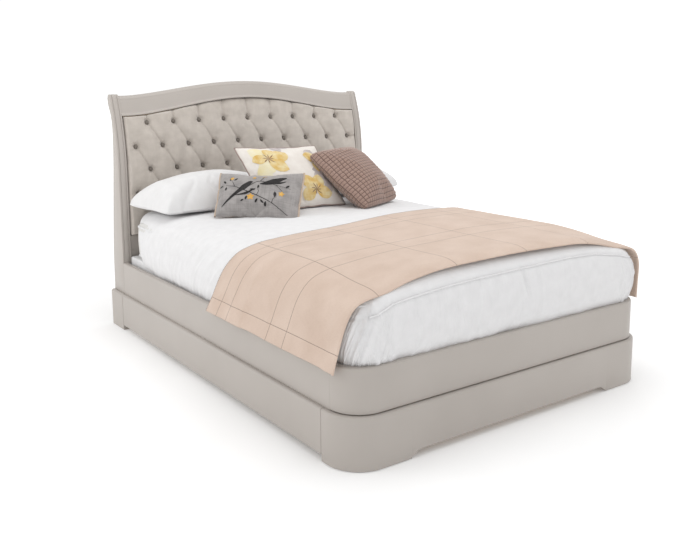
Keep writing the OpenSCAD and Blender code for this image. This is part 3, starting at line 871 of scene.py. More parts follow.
def over_mattress(across, along):
    """Cloth places to points on the smooth duvet, with how far down and round the corner they are."""
    out_x, out_y = np.maximum(np.abs(across) - CORE_X, 0), np.maximum(CORE_FOOT - along, 0)
    down = np.maximum(out_x, out_y)
    safe = np.maximum(down, 1e-9)
    turn = np.where(out_x >= out_y, math.pi / 4 * out_y / safe, math.pi / 2 - math.pi / 4 * out_x / safe)
    share = down / SIDE_LENGTH
    (side_out, side_z), (foot_out, foot_z) = follow(side_line, share), follow(foot_line, share)
    blend = np.sin(turn) ** 2
    out, z = side_out * (1 - blend) + foot_out * blend, side_z * (1 - blend) + foot_z * blend
    c, s = np.cos(turn), np.sin(turn)
    square = (c**2.6 + s**2.6) ** (1 / 2.6)
    narrow = 1 - 0.13 * smooth_step(0.55, 0.90, along) * smooth_step(0.02, 0.15, down)
    x = np.sign(across) * (np.minimum(np.abs(across), CORE_X) + out * narrow * c / square)
    y = np.maximum(along, CORE_FOOT) - out * s / square
    return np.stack([x, y, z + settle(x, y) * (1 - share) ** 2], -1), down, turn


def normals(points):
    """The direction square to a grid of points at each point."""
    n = np.cross(np.gradient(points, axis=1), np.gradient(points, axis=0))
    return n / np.maximum(np.linalg.norm(n, axis=2, keepdims=True), 1e-12)


def sample(grid, row, column):
    """Points of a grid at places between its rows and columns."""
    i, j = np.minimum(row.astype(int), grid.shape[0] - 2), np.minimum(column.astype(int), grid.shape[1] - 2)
    down_share, right_share = (row - i)[..., None], (column - j)[..., None]
    upper = (1 - right_share) * grid[i, j] + right_share * grid[i, j + 1]
    lower = (1 - right_share) * grid[i + 1, j] + right_share * grid[i + 1, j + 1]
    return (1 - down_share) * upper + down_share * lower


def ridges(x, y, seed, sharpness=1.6):
    """Long soft folds: high lines with valleys between, from 0 to 1."""
    return (1 - np.abs(clouds(x, y, 0, seed))) ** (3 * sharpness)


# %% Add the folds and gathers and make the duvet
half_width = CORE_X + SIDE_LENGTH
grid_a = np.linspace(-half_width, half_width, 410)
head_dip = smooth_step(0.02, 0.36, np.abs(grid_a) - CORE_X) * 0.12
duvet_head = 0.905 - head_dip + 0.006 * np.sin(grid_a * 23)
steps = np.linspace(0, 1, 460)
A = np.broadcast_to(grid_a, (len(steps), len(grid_a)))
B = duvet_head + (CORE_FOOT - SIDE_LENGTH - duvet_head) * steps[:, None]
smooth, down, turn = over_mattress(A, B)
out = normals(smooth)
out *= np.sign(out[len(steps) // 2, len(grid_a) // 2, 2])

seam_x = [-0.80, -0.74, -0.62, -0.27, 0.0, 0.28, 0.47, 0.62, 0.74, 0.80]
seam_z = [0.556, 0.562, 0.586, 0.597, 0.602, 0.608, 0.608, 0.598, 0.586, 0.582]


def seam_down(x):
    """How far down the foot the piped seam lies."""
    shares = np.linspace(0, 1, 200)
    heights = follow(foot_line, shares)[1]
    return np.interp(-np.interp(x, seam_x, seam_z), -heights, shares) * SIDE_LENGTH


on_side = smooth_step(0.05, 0.16, down) * (turn < 0.01)
steep = 0.35 + 0.75 * smooth_step(0.7, -0.2, B)
slanted = B - down * steep
folds = 0.0042 * ridges(slanted * 13, down * 2.2 + A * 0.3, 7) + 0.0020 * ridges(slanted * 34, down * 4, 8)
at_corner = np.sin(2 * turn)
on_foot = smooth_step(0.10, 0.20, down) * smooth_step(0.6, 1.2, turn)
curl = turn * 5.2 + down * 11.0
gathers = 0.0110 * ridges(curl, down * 2.5 + np.sign(A) * 3, 9, 1.2)
gathers = gathers + 0.0046 * ridges(curl * 2.6, down * 5, 10)
falls = (0.0042 * ridges(A * 12, down * 3, 11) + 0.0019 * ridges(A * 31, down * 6, 12)) * (1.15 - A)
below_seam = smooth_step(0.12, 0.16, down) * smooth_step(0.30, 0.20, down)
pucker = 0.011 * np.exp(-(((A - 0.02 - 0.35 * (down - 0.15)) / 0.011) ** 2)) * below_seam * on_foot
seam_at = seam_down(A)
seam_dent = 0.0032 * np.exp(-(((down - seam_at) / 0.008) ** 2)) * smooth_step(0.1, 0.5, turn)
top_soft = 0.0014 * clouds(A * 8, B * 8, 0, 13) + 0.0006 * ridges(A * 9 + B * 5, B * 14 - A * 4, 14)
push = folds * on_side + gathers * at_corner * smooth_step(0.09, 0.22, down) + falls * on_foot
push += top_soft * (1 - smooth_step(0.02, 0.1, down)) - seam_dent - pucker
hem = smooth_step(SIDE_LENGTH * 0.86, SIDE_LENGTH, down) * 0.010 * clouds(A * 9, B * 9, down * 20, 15)
cloth = smooth + out * (push + hem)[..., None]

SEAM_END = 0.72
corner_a = CORE_X + 0.9 * float(seam_down(SEAM_END))
seam_a = np.linspace(-corner_a, corner_a, 260)
seam_row = (np.interp(seam_a, grid_a, duvet_head) - CORE_FOOT + seam_down(seam_a))
seam_row *= (len(steps) - 1) / (np.interp(seam_a, grid_a, duvet_head) - CORE_FOOT + SIDE_LENGTH)
seam_column = (seam_a + half_width) / (2 * half_width) * (len(grid_a) - 1)
seam_points = sample(cloth, seam_row, seam_column) + 0.0026 * sample(out, seam_row, seam_column)

TUCK_ROWS = 6
rolled = []
for t in np.linspace(1, 0, TUCK_ROWS + 1)[:-1]:
    under = -out[0] * 0.040 * (1 - math.cos(math.pi * t)) / 2
    under[:, 1] += 0.015 * math.sin(math.pi * t) - 0.012 * t
    rolled.append(cloth[0] + under)
cloth = np.concatenate([np.array(rolled), cloth])
tuck_along = np.broadcast_to(np.linspace(0.96, 0.91, TUCK_ROWS)[:, None], (TUCK_ROWS, A.shape[1]))
tuck_uv = np.stack([A[:TUCK_ROWS], tuck_along], -1)
cloth_uv = np.concatenate([tuck_uv, np.stack([A, B], -1)])
duvet_cotton = woven("duvet_cotton", (0.735, 0.73, 0.735), (0.775, 0.77, 0.775), 0.0006, slub=0.15,
                     sheen=0.15, bump=0.2)
duvet = piece("draped_duvet", cloth.reshape(-1, 3), grid_faces(*cloth.shape[:2]), duvet_cotton,
              uv=cloth_uv.reshape(-1, 2), sharp=80)
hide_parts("duvet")

tube("duvet_piping", seam_points, 0.0034, duvet_cotton, closed=False)
duvet_length = float(duvet_head.max() - CORE_FOOT + SIDE_LENGTH)
print("duvet cloth:", round(2 * half_width, 2), "x", round(duvet_length, 2), "m")

# %% [markdown]
# ## Throw
# A light wool throw is folded in half, with the fold towards the foot, and laid across the bed a little
# askew. It isn't tucked in, so it hangs straight past the rail. The weaver put thin dark lines in both
# directions. The mesh is one long strip of cloth: out along the top layer, round the fold, and back
# underneath.

# %% The throw's wool
def stripe(tree, value, place, width):
    """1 inside a thin line at that place, else 0."""
    return maths(tree, "COMPARE", value, place, width / 2)


def checked_wool(name, ground_dark, ground_light, line_colour, across_lines, along_lines):
    """Twill wool with thin lines at places given in metres."""
    finish, tree, shader = new_finish(name, roughness=0.9, sheen=0.2, specular=0.15)
    flat = node(tree, "SeparateXYZ", Vector=cloth_coords(tree, (1, 1, 1)))
    lines = [stripe(tree, flat.outputs["X"], p, 0.0030) for p in across_lines]
    lines += [stripe(tree, flat.outputs["Y"], p, 0.0034) for p in along_lines]
    mask = lines[0]
    for line in lines[1:]:
        mask = maths(tree, "MAXIMUM", mask, line)
    yarn = node(tree, "TexNoise", Vector=cloth_coords(tree, (420, 60, 1)), Scale=1.0, Detail=2.0)
    cloudy = node(tree, "TexNoise", Vector=cloth_coords(tree, (7, 7, 1)), Scale=1.0, Detail=4.0)
    mix = maths(tree, "MULTIPLY_ADD", yarn.outputs["Fac"], 0.45, -0.22)
    tone = maths(tree, "ADD", mix, cloudy.outputs["Fac"])
    ground = two_tone(tree, tone, ground_dark, ground_light, 0.25, 0.75)
    worn = node(tree, "MapRange", Value=yarn.outputs["Fac"], To_Min=0.35, To_Max=1.0)
    broken = maths(tree, "MULTIPLY", mask, worn.outputs["Result"])
    colour = node(tree, "MixRGB", Fac=broken, Color1=ground, Color2=(*line_colour, 1))
    tree.links.new(colour.outputs["Color"], shader.inputs["Base Color"])
    diagonal = maths(tree, "ADD", flat.outputs["X"], flat.outputs["Y"])
    twill = maths(tree, "SINE", maths(tree, "MULTIPLY", diagonal, 2 * math.pi / 0.003))
    ribs = add_bump(tree, shader, twill, 0.35, 0.0006)
    fuzz = node(tree, "TexNoise", Vector=cloth_coords(tree, (900, 900, 1)), Scale=1.0, Detail=2.0)
    add_bump(tree, shader, fuzz.outputs["Fac"], 0.3, 0.0006, below=ribs)
    return finish


THROW_HALF = CORE_X + 0.405
ACROSS_LINES = [-0.955, -0.665, -0.30, 0.07, 0.44, 0.81]
ALONG_LINES = [0.10, 0.19, 0.52, 0.64, 1.16, 1.28, 1.60, 1.72]
wool = checked_wool("checked_wool", (0.595, 0.458, 0.372), (0.685, 0.550, 0.462), (0.20, 0.135, 0.11),
                    ACROSS_LINES, ALONG_LINES)

# %% Lay the throw over the duvet
throw_line = spline([(0, 0.650), (0.04, 0.6475), (0.08, 0.638), (0.116, 0.617), (0.142, 0.584),
                     (0.160, 0.536), (0.171, 0.480), (0.179, 0.430), (0.186, 0.390), (0.192, 0.352)], 8)
head_edge = spline([(-1.03, -0.080), (-0.935, -0.138), (-0.83, -0.196), (-0.75, -0.243), (-0.66, -0.276),
                    (-0.457, -0.266), (-0.156, -0.222), (0.203, -0.147), (0.551, -0.080), (0.749, -0.070),
                    (1.03, -0.03)], 8)
foot_edge = spline([(-1.03, -1.050), (-0.9, -1.070), (-0.75, -1.090), (-0.55, -1.087), (0, -1.082),
                    (0.55, -1.083), (0.75, -1.085), (1.03, -1.05)], 8)


def on_throw_line(across, y):
    """The smooth surface that the throw lies on."""
    down = np.maximum(np.abs(across) - CORE_X, 0)
    side_out, z = follow(throw_line, down / (THROW_HALF - CORE_X))
    dip = 0.650 - np.interp(np.maximum(CORE_FOOT - y, 0), foot_line[:40, 0], foot_line[:40, 1])
    z = z - dip * (1 - smooth_step(0.0, 0.20, down))
    flare = 0.028 * smooth_step(-0.70, -1.06, y) * smooth_step(0.05, 0.25, down) * (across > 0)
    x = np.sign(across) * (np.minimum(np.abs(across), CORE_X) + side_out + flare)
    return np.stack([x, y, z + settle(x, y) * (1 - down / 0.45) ** 2], -1)


across = np.linspace(-THROW_HALF, THROW_HALF, 400)
starts, ends = np.interp(across, *head_edge.T), np.interp(across, *foot_edge.T)
lengths = starts - ends
top_rows, fold_rows = 150, 9
TOP_LIFT, LOW_LIFT, FOLD = 0.0135, 0.0065, 0.0060
outwards, back_again = np.linspace(0, 1, top_rows), np.linspace(1, 0.015, top_rows)
share = np.concatenate([outwards, np.ones(fold_rows), back_again])[:, None]
round_fold = np.linspace(0, math.pi, fold_rows + 2)[1:-1]
bend = np.concatenate([np.zeros(top_rows), round_fold, np.full(top_rows, math.pi)])[:, None]
ACROSS = across * np.where(bend > 2, 0.997, 1.0)
Y = starts - lengths * share
bed = on_throw_line(ACROSS, Y)
away = normals(bed[:top_rows])
away *= np.sign(away[top_rows // 2, 200, 2])
away = np.concatenate([away, np.repeat(away[-1:], fold_rows, 0), away[::-1]])
wavy = 0.0035 * ridges(Y * 7 + ACROSS * 2, ACROSS * 1.5, 21) * smooth_step(0.05, 0.2, np.abs(ACROSS) - CORE_X)
wavy += 0.0040 * clouds(Y * 4, ACROSS * 3, 0, 22) * smooth_step(0.15, 0.40, np.abs(ACROSS) - CORE_X)
wavy += 0.0010 * clouds(Y * 6, ACROSS * 6, 0, 23)
lift = (TOP_LIFT + LOW_LIFT) / 2 + (TOP_LIFT - LOW_LIFT) / 2 * np.cos(bend) + wavy
at = bed + away * lift[..., None]
at[..., 1] -= FOLD * np.sin(bend)
at[..., 2] += 0.004 * clouds(Y * 12, ACROSS * 0.5, 0, 24) * smooth_step(0.38, 0.405, np.abs(ACROSS) - CORE_X)
at[top_rows:, :, 2] -= 0.003 * smooth_step(0.3, 0.405, np.abs(ACROSS[top_rows:]) - CORE_X)
FOLDED_LENGTH = 0.97
run = np.broadcast_to(FOLDED_LENGTH * np.where(bend < 2, share, 2 - share), ACROSS.shape)
throw = piece("folded_throw", at.reshape(-1, 3), grid_faces(*at.shape[:2]), wool,
              uv=np.stack([ACROSS, run], -1).reshape(-1, 2), sharp=80)
thickness = throw.modifiers.new("wool_thickness", "SOLIDIFY")
thickness.thickness, thickness.offset = 0.0024, 0
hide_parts("throw")

# %% Stitch the throw's raw edge
stitch_points, stitch_faces = [], []
edge_run = np.concatenate([[0], np.cumsum(np.linalg.norm(np.diff(at[0], axis=0), axis=1))])
for s in np.arange(0.004, edge_run[-1] - 0.004, 0.0085):
    middle = np.array([np.interp(s, edge_run, at[0][:, k]) for k in range(3)])
    up_from = np.array([np.interp(s, edge_run, away[0][:, k]) for k in range(3)])
    inwards = np.array([np.interp(s, edge_run, (at[3] - at[0])[:, k]) for k in range(3)])
    inwards /= np.linalg.norm(inwards)
    beside = np.cross(up_from, inwards)
    start = len(stitch_points)
    for forward, lift_by in ((-0.0020, -0.0016), (-0.0020, 0.0016), (0.0020, 0.0022), (0.0060, 0.0017)):
        for half in (-0.0008, 0.0008):
            slanted_by = half + forward * 0.35
            stitch_points.append(middle + inwards * forward + up_from * lift_by + beside * slanted_by)
    stitch_faces += grid_faces(4, 2, start)
yarn_finish = grained("stitch_yarn", (0.10, 0.075, 0.065), (0.16, 0.12, 0.10), (900, 900, 900), 0.9)
stitches = piece("throw_edge_stitches", stitch_points, stitch_faces, yarn_finish)
print("throw:", len(throw.data.vertices), "points,", len(stitch_faces) // 3, "edge stitches")

# %% [markdown]
# ## Pillows and cushions
# A cushion is two flat panels sewn together round their edges and filled. As it fills, the panels swell,
# the edges pull in between the corners, and small puckers form along the seam. That is a job for cloth
# simulation: each cover is sewn flat, blown up by an even pressure, and then its shape is kept. No panel
# may swell further than its real thickness, so the result is capped.

# %% Sew two panels and fill them
def sewn_flat(width, height, columns, rows):
    """Front and back panel points, and one mesh's points and faces, sharing the points of the seam."""
    u, v = np.meshgrid(np.linspace(-0.5, 0.5, columns + 1), np.linspace(-0.5, 0.5, rows + 1))
    swell = np.sqrt(np.clip((1 - 4 * u * u) * (1 - 4 * v * v), 0, 1))
    front = np.stack([u * width, v * height, 0.016 * swell], -1)
    front_index = np.arange((rows + 1) * (columns + 1)).reshape(rows + 1, columns + 1)
    back_index = front_index.copy()
    inner = np.arange((rows - 1) * (columns - 1)).reshape(rows - 1, -1)
    back_index[1:-1, 1:-1] = front_index[-1, -1] + 1 + inner
    points = np.vstack([front.reshape(-1, 3), (front * (1, 1, -1))[1:-1, 1:-1].reshape(-1, 3)])
    faces = []
    for index, flip in ((front_index, False), (back_index, True)):
        for f in grid_faces(rows + 1, columns + 1):
            g = [int(index.ravel()[k]) for k in f]
            faces.append(g[::-1] if flip else g)
    return points, faces, front_index, back_index


def fill_cover(width, height, columns, rows, plump, pressure, pull_in, blunt_corners, fullness):
    """The front and back panels of a filled cushion, lying flat, with its corners at the given size."""
    points, faces, front_index, back_index = sewn_flat(width, height, columns, rows)
    mesh = bpy.data.meshes.new("cover")
    mesh.from_pydata(points.tolist(), [], faces)
    cover = bpy.data.objects.new("cover", mesh)
    bpy.context.scene.collection.objects.link(cover)
    sewn = cover.modifiers.new("filling", "CLOTH")
    sewn.settings.quality = 6
    sewn.settings.mass = 0.25
    sewn.settings.tension_stiffness = sewn.settings.compression_stiffness = 14
    sewn.settings.shear_stiffness, sewn.settings.bending_stiffness = 7, 0.35
    sewn.settings.air_damping = 3
    sewn.settings.use_pressure, sewn.settings.uniform_pressure_force = True, pressure
    sewn.settings.effector_weights.gravity = 0
    frames = 22
    sewn.point_cache.frame_end = frames
    for step in range(1, frames + 1):
        bpy.context.scene.frame_set(step)
    filled = cover.evaluated_get(bpy.context.evaluated_depsgraph_get()).data
    points = np.array([tuple(v.co) for v in filled.vertices])
    bpy.data.objects.remove(cover)
    bpy.context.scene.frame_set(1)
    front, back = points[front_index.ravel()], points[back_index.ravel()]
    shape = front_index.shape + (3,)
    front, back = front.reshape(shape), back.reshape(shape)
    corner = front[-1, -1] - front[0, 0]
    swollen = front[..., 2].max() - back[..., 2].min()
    scale = np.array([width / corner[0], height / corner[1], plump / swollen])
    u, v = np.meshgrid(np.linspace(-0.5, 0.5, columns + 1) * width, np.linspace(-0.5, 0.5, rows + 1) * height)
    flat = np.stack([u, v, u * 0], -1)
    keep = np.array([pull_in, pull_in, 1.0])
    blunt = 1 - blunt_corners * (16 * (u / width) ** 2 * (v / height) ** 2) ** 2
    sides = []
    for side in (front, back):
        side = flat + (side * scale - flat) * keep
        side[..., :2] *= blunt[..., None]
        side[..., 2] = np.sign(side[..., 2]) * plump * (np.abs(side[..., 2]) / plump) ** fullness
        sides.append(side)
    return sides


def finer(grid, times):
    """A grid with that many times more points, smoothly filled in."""
    for _ in range(2):
        rows, columns = grid.shape[:2]
        grid = spline(grid.reshape(rows, -1), times).reshape(-1, columns, 3).swapaxes(0, 1)
    return grid


print("filling:", "done by cloth simulation")

# %% Place a filled cushion
def lay(grid, corners, width, height):
    """Moves a flat-lying grid to its place. corners are bottom left, bottom right, top right and top left."""
    c = np.array(corners, float)
    u, v = grid[..., :1] / width + 0.5, grid[..., 1:2] / height + 0.5
    flat = (1 - v) * ((1 - u) * c[0] + u * c[1]) + v * ((1 - u) * c[3] + u * c[2])
    out = np.cross(c[1] - c[0], c[3] - c[0])
    return flat + grid[..., 2:3] * out / np.linalg.norm(out)


def rest_on(grid, level):
    """Points below a level are pressed up to it, with a soft edge."""
    softness = 0.012
    z = grid[..., 2]
    grid[..., 2] = level + softness * np.log1p(np.exp((z - level) / softness))
    return grid


def cushion(name, node_name, corners, plump, finish, back_finish, rests_at, columns=48, rows=40,
            times=3, relief=None, share_front=0.5, pressure=4.0, pull_in=0.45, blunt_corners=0.02, fullness=1.0,
            piping=None, piping_radius=0.003, piped_sides=False):
    """A sewn and filled cushion in its place; gives back its front panel's points."""
    c = np.array(corners, float)
    width, height = np.linalg.norm(c[1] - c[0]), np.linalg.norm(c[3] - c[0])
    front, back = fill_cover(width, height, columns, rows, plump, pressure, pull_in, blunt_corners, fullness)
    front, back = front * (1, 1, 2 * share_front), back * (1, 1, 2 - 2 * share_front)
    for seam in ((0, ...), (-1, ...), (slice(None), 0), (slice(None), -1)):
        back[seam] = front[seam]
    front, back = finer(front, times), finer(back, times)
    front, back = (rest_on(lay(g, c, width, height), rests_at) for g in (front, back))
    n_rows, n_columns = front.shape[:2]
    u, v = np.meshgrid(np.linspace(0, width, n_columns), np.linspace(0, height, n_rows))
    uv = np.stack([u, v], -1)
    panels = []
    for panel, sign in ((front, 1), (back, -1)):
        out_dir = normals(panel) * sign
        if relief is not None:
            rim = np.minimum(np.minimum(u, width - u), np.minimum(v, height - v))
            panel = panel + out_dir * (relief(u, v) * smooth_step(0.0, 0.012, rim))[..., None]
        panels.append(panel)
    faces = grid_faces(n_rows, n_columns) + grid_faces(n_rows, n_columns, n_rows * n_columns, flip=True)
    points = np.concatenate([p.reshape(-1, 3) for p in panels])
    made = piece(name, points, faces, finish, uv=np.concatenate([uv.reshape(-1, 2)] * 2), sharp=75)
    made.data.materials.append(back_finish)
    half = len(faces) // 2
    made.data.polygons.foreach_set("material_index", [0] * half + [1] * half)
    if piping is not None:
        p = panels[0]
        if piped_sides:
            for word, rim in (("left", p[:, 0]), ("right", p[:, -1])):
                tube(f"{name}_piping_{word}", rim, piping_radius, piping, closed=False)
        else:
            rim = np.vstack([p[0, :-1], p[:-1, -1], p[-1, :0:-1], p[:0:-1, 0]])
            tube(name + "_piping", rim, piping_radius, piping)
    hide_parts(node_name)
    return panels[0], width, height


# %% [markdown]
# ### Two white pillows
# The pillows lie flat at the headboard, so the filling stands above the seam and the underside is pressed
# level.

# %% The pillows
pillow_cotton = woven("pillow_cotton", (0.735, 0.73, 0.73), (0.775, 0.77, 0.77), 0.0006, slub=0.15,
                      sheen=0.15, bump=0.2)
LEFT_PILLOW = [(-0.715, 0.560, 0.684), (-0.005, 0.545, 0.686), (-0.008, 0.940, 0.700), (-0.776, 0.944, 0.690)]
RIGHT_PILLOW = [(0.005, 0.545, 0.690), (0.776, 0.556, 0.716), (0.742, 0.945, 0.706), (0.008, 0.940, 0.706)]
for word, corners in (("left", LEFT_PILLOW), ("right", RIGHT_PILLOW)):
    cushion(f"white_pillow_{word}", f"pillow_{word}", corners, 0.180, pillow_cotton,
            pillow_cotton, 0.654, columns=60, rows=40, times=2, share_front=0.79, pull_in=0.3,
            blunt_corners=0.03, fullness=0.72)
print("pillows are", round(math.dist(LEFT_PILLOW[0], LEFT_PILLOW[1]), 2), "m long")

# %% [markdown]
# ### Printed cushions
# A print lies on the cloth, so it must follow the cushion's curve. Each stroke is drawn on the flat
# panel, in metres from its lower left corner, and every point is then looked up on the filled panel and
# lifted by the thickness of the ink. The designs are a branch with leaves, two bird-like strokes and
# blossoms.

# %% Print strokes on a panel
def brush(path, widths, across=3, steps=6):
    """A stroke with a width at each of its places: rows of points from its left to its right edge."""
    line = spline([(x, y, 0) for x, y in path], steps)[:, :2]
    along = np.gradient(line, axis=0)
    along /= np.maximum(np.linalg.norm(along, axis=1), 1e-9)[:, None]
    wide = np.interp(np.linspace(0, 1, len(line)), np.linspace(0, 1, len(widths)), widths)
    side = np.stack([-along[:, 1], along[:, 0]], 1) * wide[:, None] / 2
    return line[:, None] + side[:, None] * np.linspace(-1, 1, across)[None, :, None]


def leaf(x, y, angle, length, width, across=3):
    """A pointed oval that starts at a place."""
    a = math.radians(angle)
    path = []
    for t in (0, 0.35, 0.7, 1):
        path.append((x + length * t * math.cos(a + 0.25 * t), y + length * t * math.sin(a + 0.25 * t)))
    widths = [width * math.sin(math.pi * t) ** 0.8 for t in np.linspace(0, 1, 9)]
    return brush(path, widths, across, steps=5 if across < 5 else 8)


def blossom(x, y, size, turn=0):
    """Five petals round a place."""
    return [leaf(x, y, turn + 72 * k, size, size * 0.62) for k in range(5)]


def print_on(name, panel, width, height, strokes, finish, lift=0.0007):
    """Lays strokes on a filled panel as one thin piece of ink."""
    out = normals(panel)
    rows, columns = panel.shape[:2]
    points, faces, uv = [], [], []
    for n, stroke in enumerate(strokes):
        u = np.clip(stroke[..., 0] / width, 0.012, 0.988) * (columns - 1)
        v = np.clip(stroke[..., 1] / height, 0.012, 0.988) * (rows - 1)
        place = [sample(g, v, u) for g in (panel, out)]
        faces += grid_faces(stroke.shape[0], stroke.shape[1], len(points), flip=True)
        points += list((place[0] + place[1] * (lift + 0.00004 * n)).reshape(-1, 3))
        uv += list(stroke.reshape(-1, 2))
    made = piece(name, points, faces, finish, uv=uv, sharp=75)
    return made


# %% The grey cushion with a branch and two bird-like strokes
linen_grey = woven("grey_linen", (0.265, 0.250, 0.243), (0.375, 0.352, 0.342), 0.0012, slub=0.6, sheen=0.3)
linen_beige = woven("beige_linen", (0.46, 0.36, 0.28), (0.56, 0.45, 0.36), 0.0012, slub=0.5, sheen=0.3)
ink_black = woven("black_ink", (0.022, 0.020, 0.020), (0.045, 0.042, 0.042), 0.0012, slub=0.6, sheen=0.05)
ink_mustard = woven("mustard_ink", (0.58, 0.30, 0.06), (0.74, 0.46, 0.14), 0.0012, slub=0.5, sheen=0.1)
ink_grey = woven("grey_ink", (0.24, 0.23, 0.24), (0.30, 0.29, 0.30), 0.0012, slub=0.5, sheen=0.1)

BRANCH_CORNERS = [(-0.534, 0.400, 0.666), (-0.240, 0.096, 0.640), (-0.062, 0.300, 0.866),
                  (-0.416, 0.556, 0.868)]
panel, wide, high = cushion("twig_cushion", "branch_cushion", BRANCH_CORNERS, 0.118,
                            linen_grey, linen_beige, 0.648, share_front=0.55, pull_in=0.42, fullness=0.85,
                            piping=linen_beige, piping_radius=0.0055, piped_sides=True)
TWIGS = [
    ([(0.055, 0.190), (0.100, 0.178), (0.150, 0.150), (0.215, 0.118), (0.290, 0.082), (0.372, 0.030)],
     [2, 3, 4, 4, 3, 2]),
    ([(0.150, 0.150), (0.185, 0.185), (0.225, 0.205), (0.300, 0.190), (0.370, 0.180)], [4, 3, 3, 2, 1]),
    ([(0.100, 0.178), (0.090, 0.205), (0.078, 0.222)], [3, 2, 1]),
    ([(0.225, 0.205), (0.240, 0.232), (0.236, 0.250)], [3, 2, 1]),
    ([(0.300, 0.190), (0.325, 0.165), (0.335, 0.150)], [2, 2, 1]),
    ([(0.215, 0.118), (0.222, 0.145), (0.214, 0.158)], [3, 2, 1]),
    ([(0.290, 0.082), (0.296, 0.108), (0.310, 0.120)], [2, 2, 1]),
]
strokes = [brush(path, [w / 1000 for w in widths]) for path, widths in TWIGS]
strokes.append(brush([(0.042, 0.052), (0.075, 0.092), (0.120, 0.140), (0.150, 0.172), (0.176, 0.196),
                      (0.190, 0.200)], [0.003, 0.012, 0.020, 0.032, 0.022, 0.002], across=5))
strokes.append(brush([(0.110, 0.118), (0.160, 0.128), (0.205, 0.160)], [0.002, 0.016, 0.003], across=5))
strokes.append(brush([(0.225, 0.188), (0.255, 0.196), (0.290, 0.212), (0.325, 0.234), (0.345, 0.246)],
                     [0.004, 0.022, 0.034, 0.016, 0.004], across=5))
strokes.append(brush([(0.275, 0.200), (0.315, 0.206), (0.345, 0.222)], [0.016, 0.012, 0.003], across=5))
# (across, up, angle, length in millimetres) of each leaf.
LEAVES = [(0.052, 0.205, 110, 26), (0.040, 0.190, 170, 24), (0.070, 0.222, 60, 26), (0.092, 0.222, 20, 22),
          (0.060, 0.178, 250, 24), (0.222, 0.100, 230, 26), (0.235, 0.096, 300, 24), (0.262, 0.088, 250, 28),
          (0.300, 0.116, 80, 34), (0.318, 0.150, 300, 26), (0.205, 0.150, 160, 26), (0.216, 0.160, 70, 22),
          (0.345, 0.184, 30, 24), (0.170, 0.112, 240, 24), (0.155, 0.090, 200, 18)]
for x, y, angle, size in LEAVES:
    strokes.append(leaf(x, y, angle, size / 1000, size / 2400))
LOWER = np.array([1.0, 0.88])
print_on("twig_print", panel, wide, high, [s * LOWER for s in strokes], ink_black)
flowers = blossom(0.186, 0.108, 0.019, turn=10) + blossom(0.240, 0.246, 0.015, turn=30)
flowers += blossom(0.330, 0.140, 0.015)
flowers += blossom(0.082, 0.236, 0.011, turn=50) + blossom(0.196, 0.226, 0.009)
print_on("blossom_print", panel, wide, high, [s * LOWER for s in flowers], ink_mustard,
         lift=0.0011)
shadow_twigs = [brush([(0.04, 0.135), (0.09, 0.160), (0.14, 0.172)], [0.002, 0.003, 0.001]),
                brush([(0.26, 0.150), (0.32, 0.135), (0.39, 0.150)], [0.001, 0.003, 0.001]),
                brush([(0.24, 0.170), (0.31, 0.205), (0.39, 0.215)], [0.001, 0.002, 0.001])]
print_on("pale_twig_print", panel, wide, high, shadow_twigs, ink_grey, lift=0.0005)

# %% The ivory cushion with large blossoms
ivory = woven("ivory_linen", (0.74, 0.69, 0.64), (0.80, 0.76, 0.71), 0.0012, slub=0.3, sheen=0.2)
mauve = woven("mauve_linen", (0.30, 0.23, 0.21), (0.38, 0.30, 0.27), 0.0012, slub=0.4, sheen=0.3)
wash_yellow = woven("yellow_wash", (0.66, 0.43, 0.12), (0.78, 0.68, 0.42), 0.0012, slub=0.3,
                    sheen=0.1, scale=24)
wash_pale = woven("pale_yellow_wash", (0.78, 0.68, 0.38), (0.80, 0.75, 0.58), 0.0012, slub=0.3,
                  sheen=0.1, scale=16)
wash_grey = woven("grey_mauve_wash", (0.42, 0.37, 0.37), (0.62, 0.57, 0.56), 0.0012, slub=0.3,
                  sheen=0.1, scale=16)
ink_brown = woven("brown_ink", (0.22, 0.12, 0.09), (0.32, 0.19, 0.14), 0.0012, slub=0.5, sheen=0.1)

FLOWER_CORNERS = [(-0.262, 0.330, 0.674), (0.210, 0.322, 0.668), (0.160, 0.548, 0.984),
                  (-0.334, 0.568, 0.992)]
panel, wide, high = cushion("blossom_cushion", "flower_cushion", FLOWER_CORNERS, 0.130,
                            ivory, mauve, 0.664, share_front=0.5, pull_in=0.25, fullness=0.85, piping=mauve,
                            piping_radius=0.0036)
HEARTS = ((0.120, 0.288), (0.300, 0.090))
yellow = [leaf(*HEARTS[0], a, size, size * 0.72, 9)
          for a, size in ((5, 0.120), (55, 0.090), (300, 0.110), (165, 0.080))]
yellow += [leaf(*HEARTS[1], a, size, size * 0.75, 9)
           for a, size in ((200, 0.095), (120, 0.100), (50, 0.090), (330, 0.095))]
yellow += [leaf(0.405, 0.260, 140, 0.095, 0.075, 9), leaf(0.405, 0.260, 220, 0.085, 0.065, 9),
           leaf(0.335, 0.405, 20, 0.085, 0.05, 7)]
pale = [leaf(*HEARTS[0], a, 0.105, 0.085, 9) for a in (120, 235)] + [leaf(0.060, 0.130, 80, 0.12, 0.07, 9)]
grey = [leaf(0.235, 0.385, 25, 0.085, 0.050, 7), leaf(0.400, 0.180, 200, 0.10, 0.075, 9),
        leaf(0.400, 0.180, 250, 0.10, 0.060, 9), leaf(0.400, 0.180, 150, 0.08, 0.05, 9),
        leaf(0.365, 0.060, 60, 0.07, 0.05, 7), leaf(0.205, 0.330, 80, 0.09, 0.055, 9),
        leaf(0.330, 0.300, 20, 0.075, 0.05, 7)]
print_on("pale_petal_print", panel, wide, high, pale, wash_pale, lift=0.0005)
print_on("grey_petal_print", panel, wide, high, grey, wash_grey, lift=0.0010)
print_on("yellow_petal_print", panel, wide, high, yellow, wash_yellow, lift=0.0014)
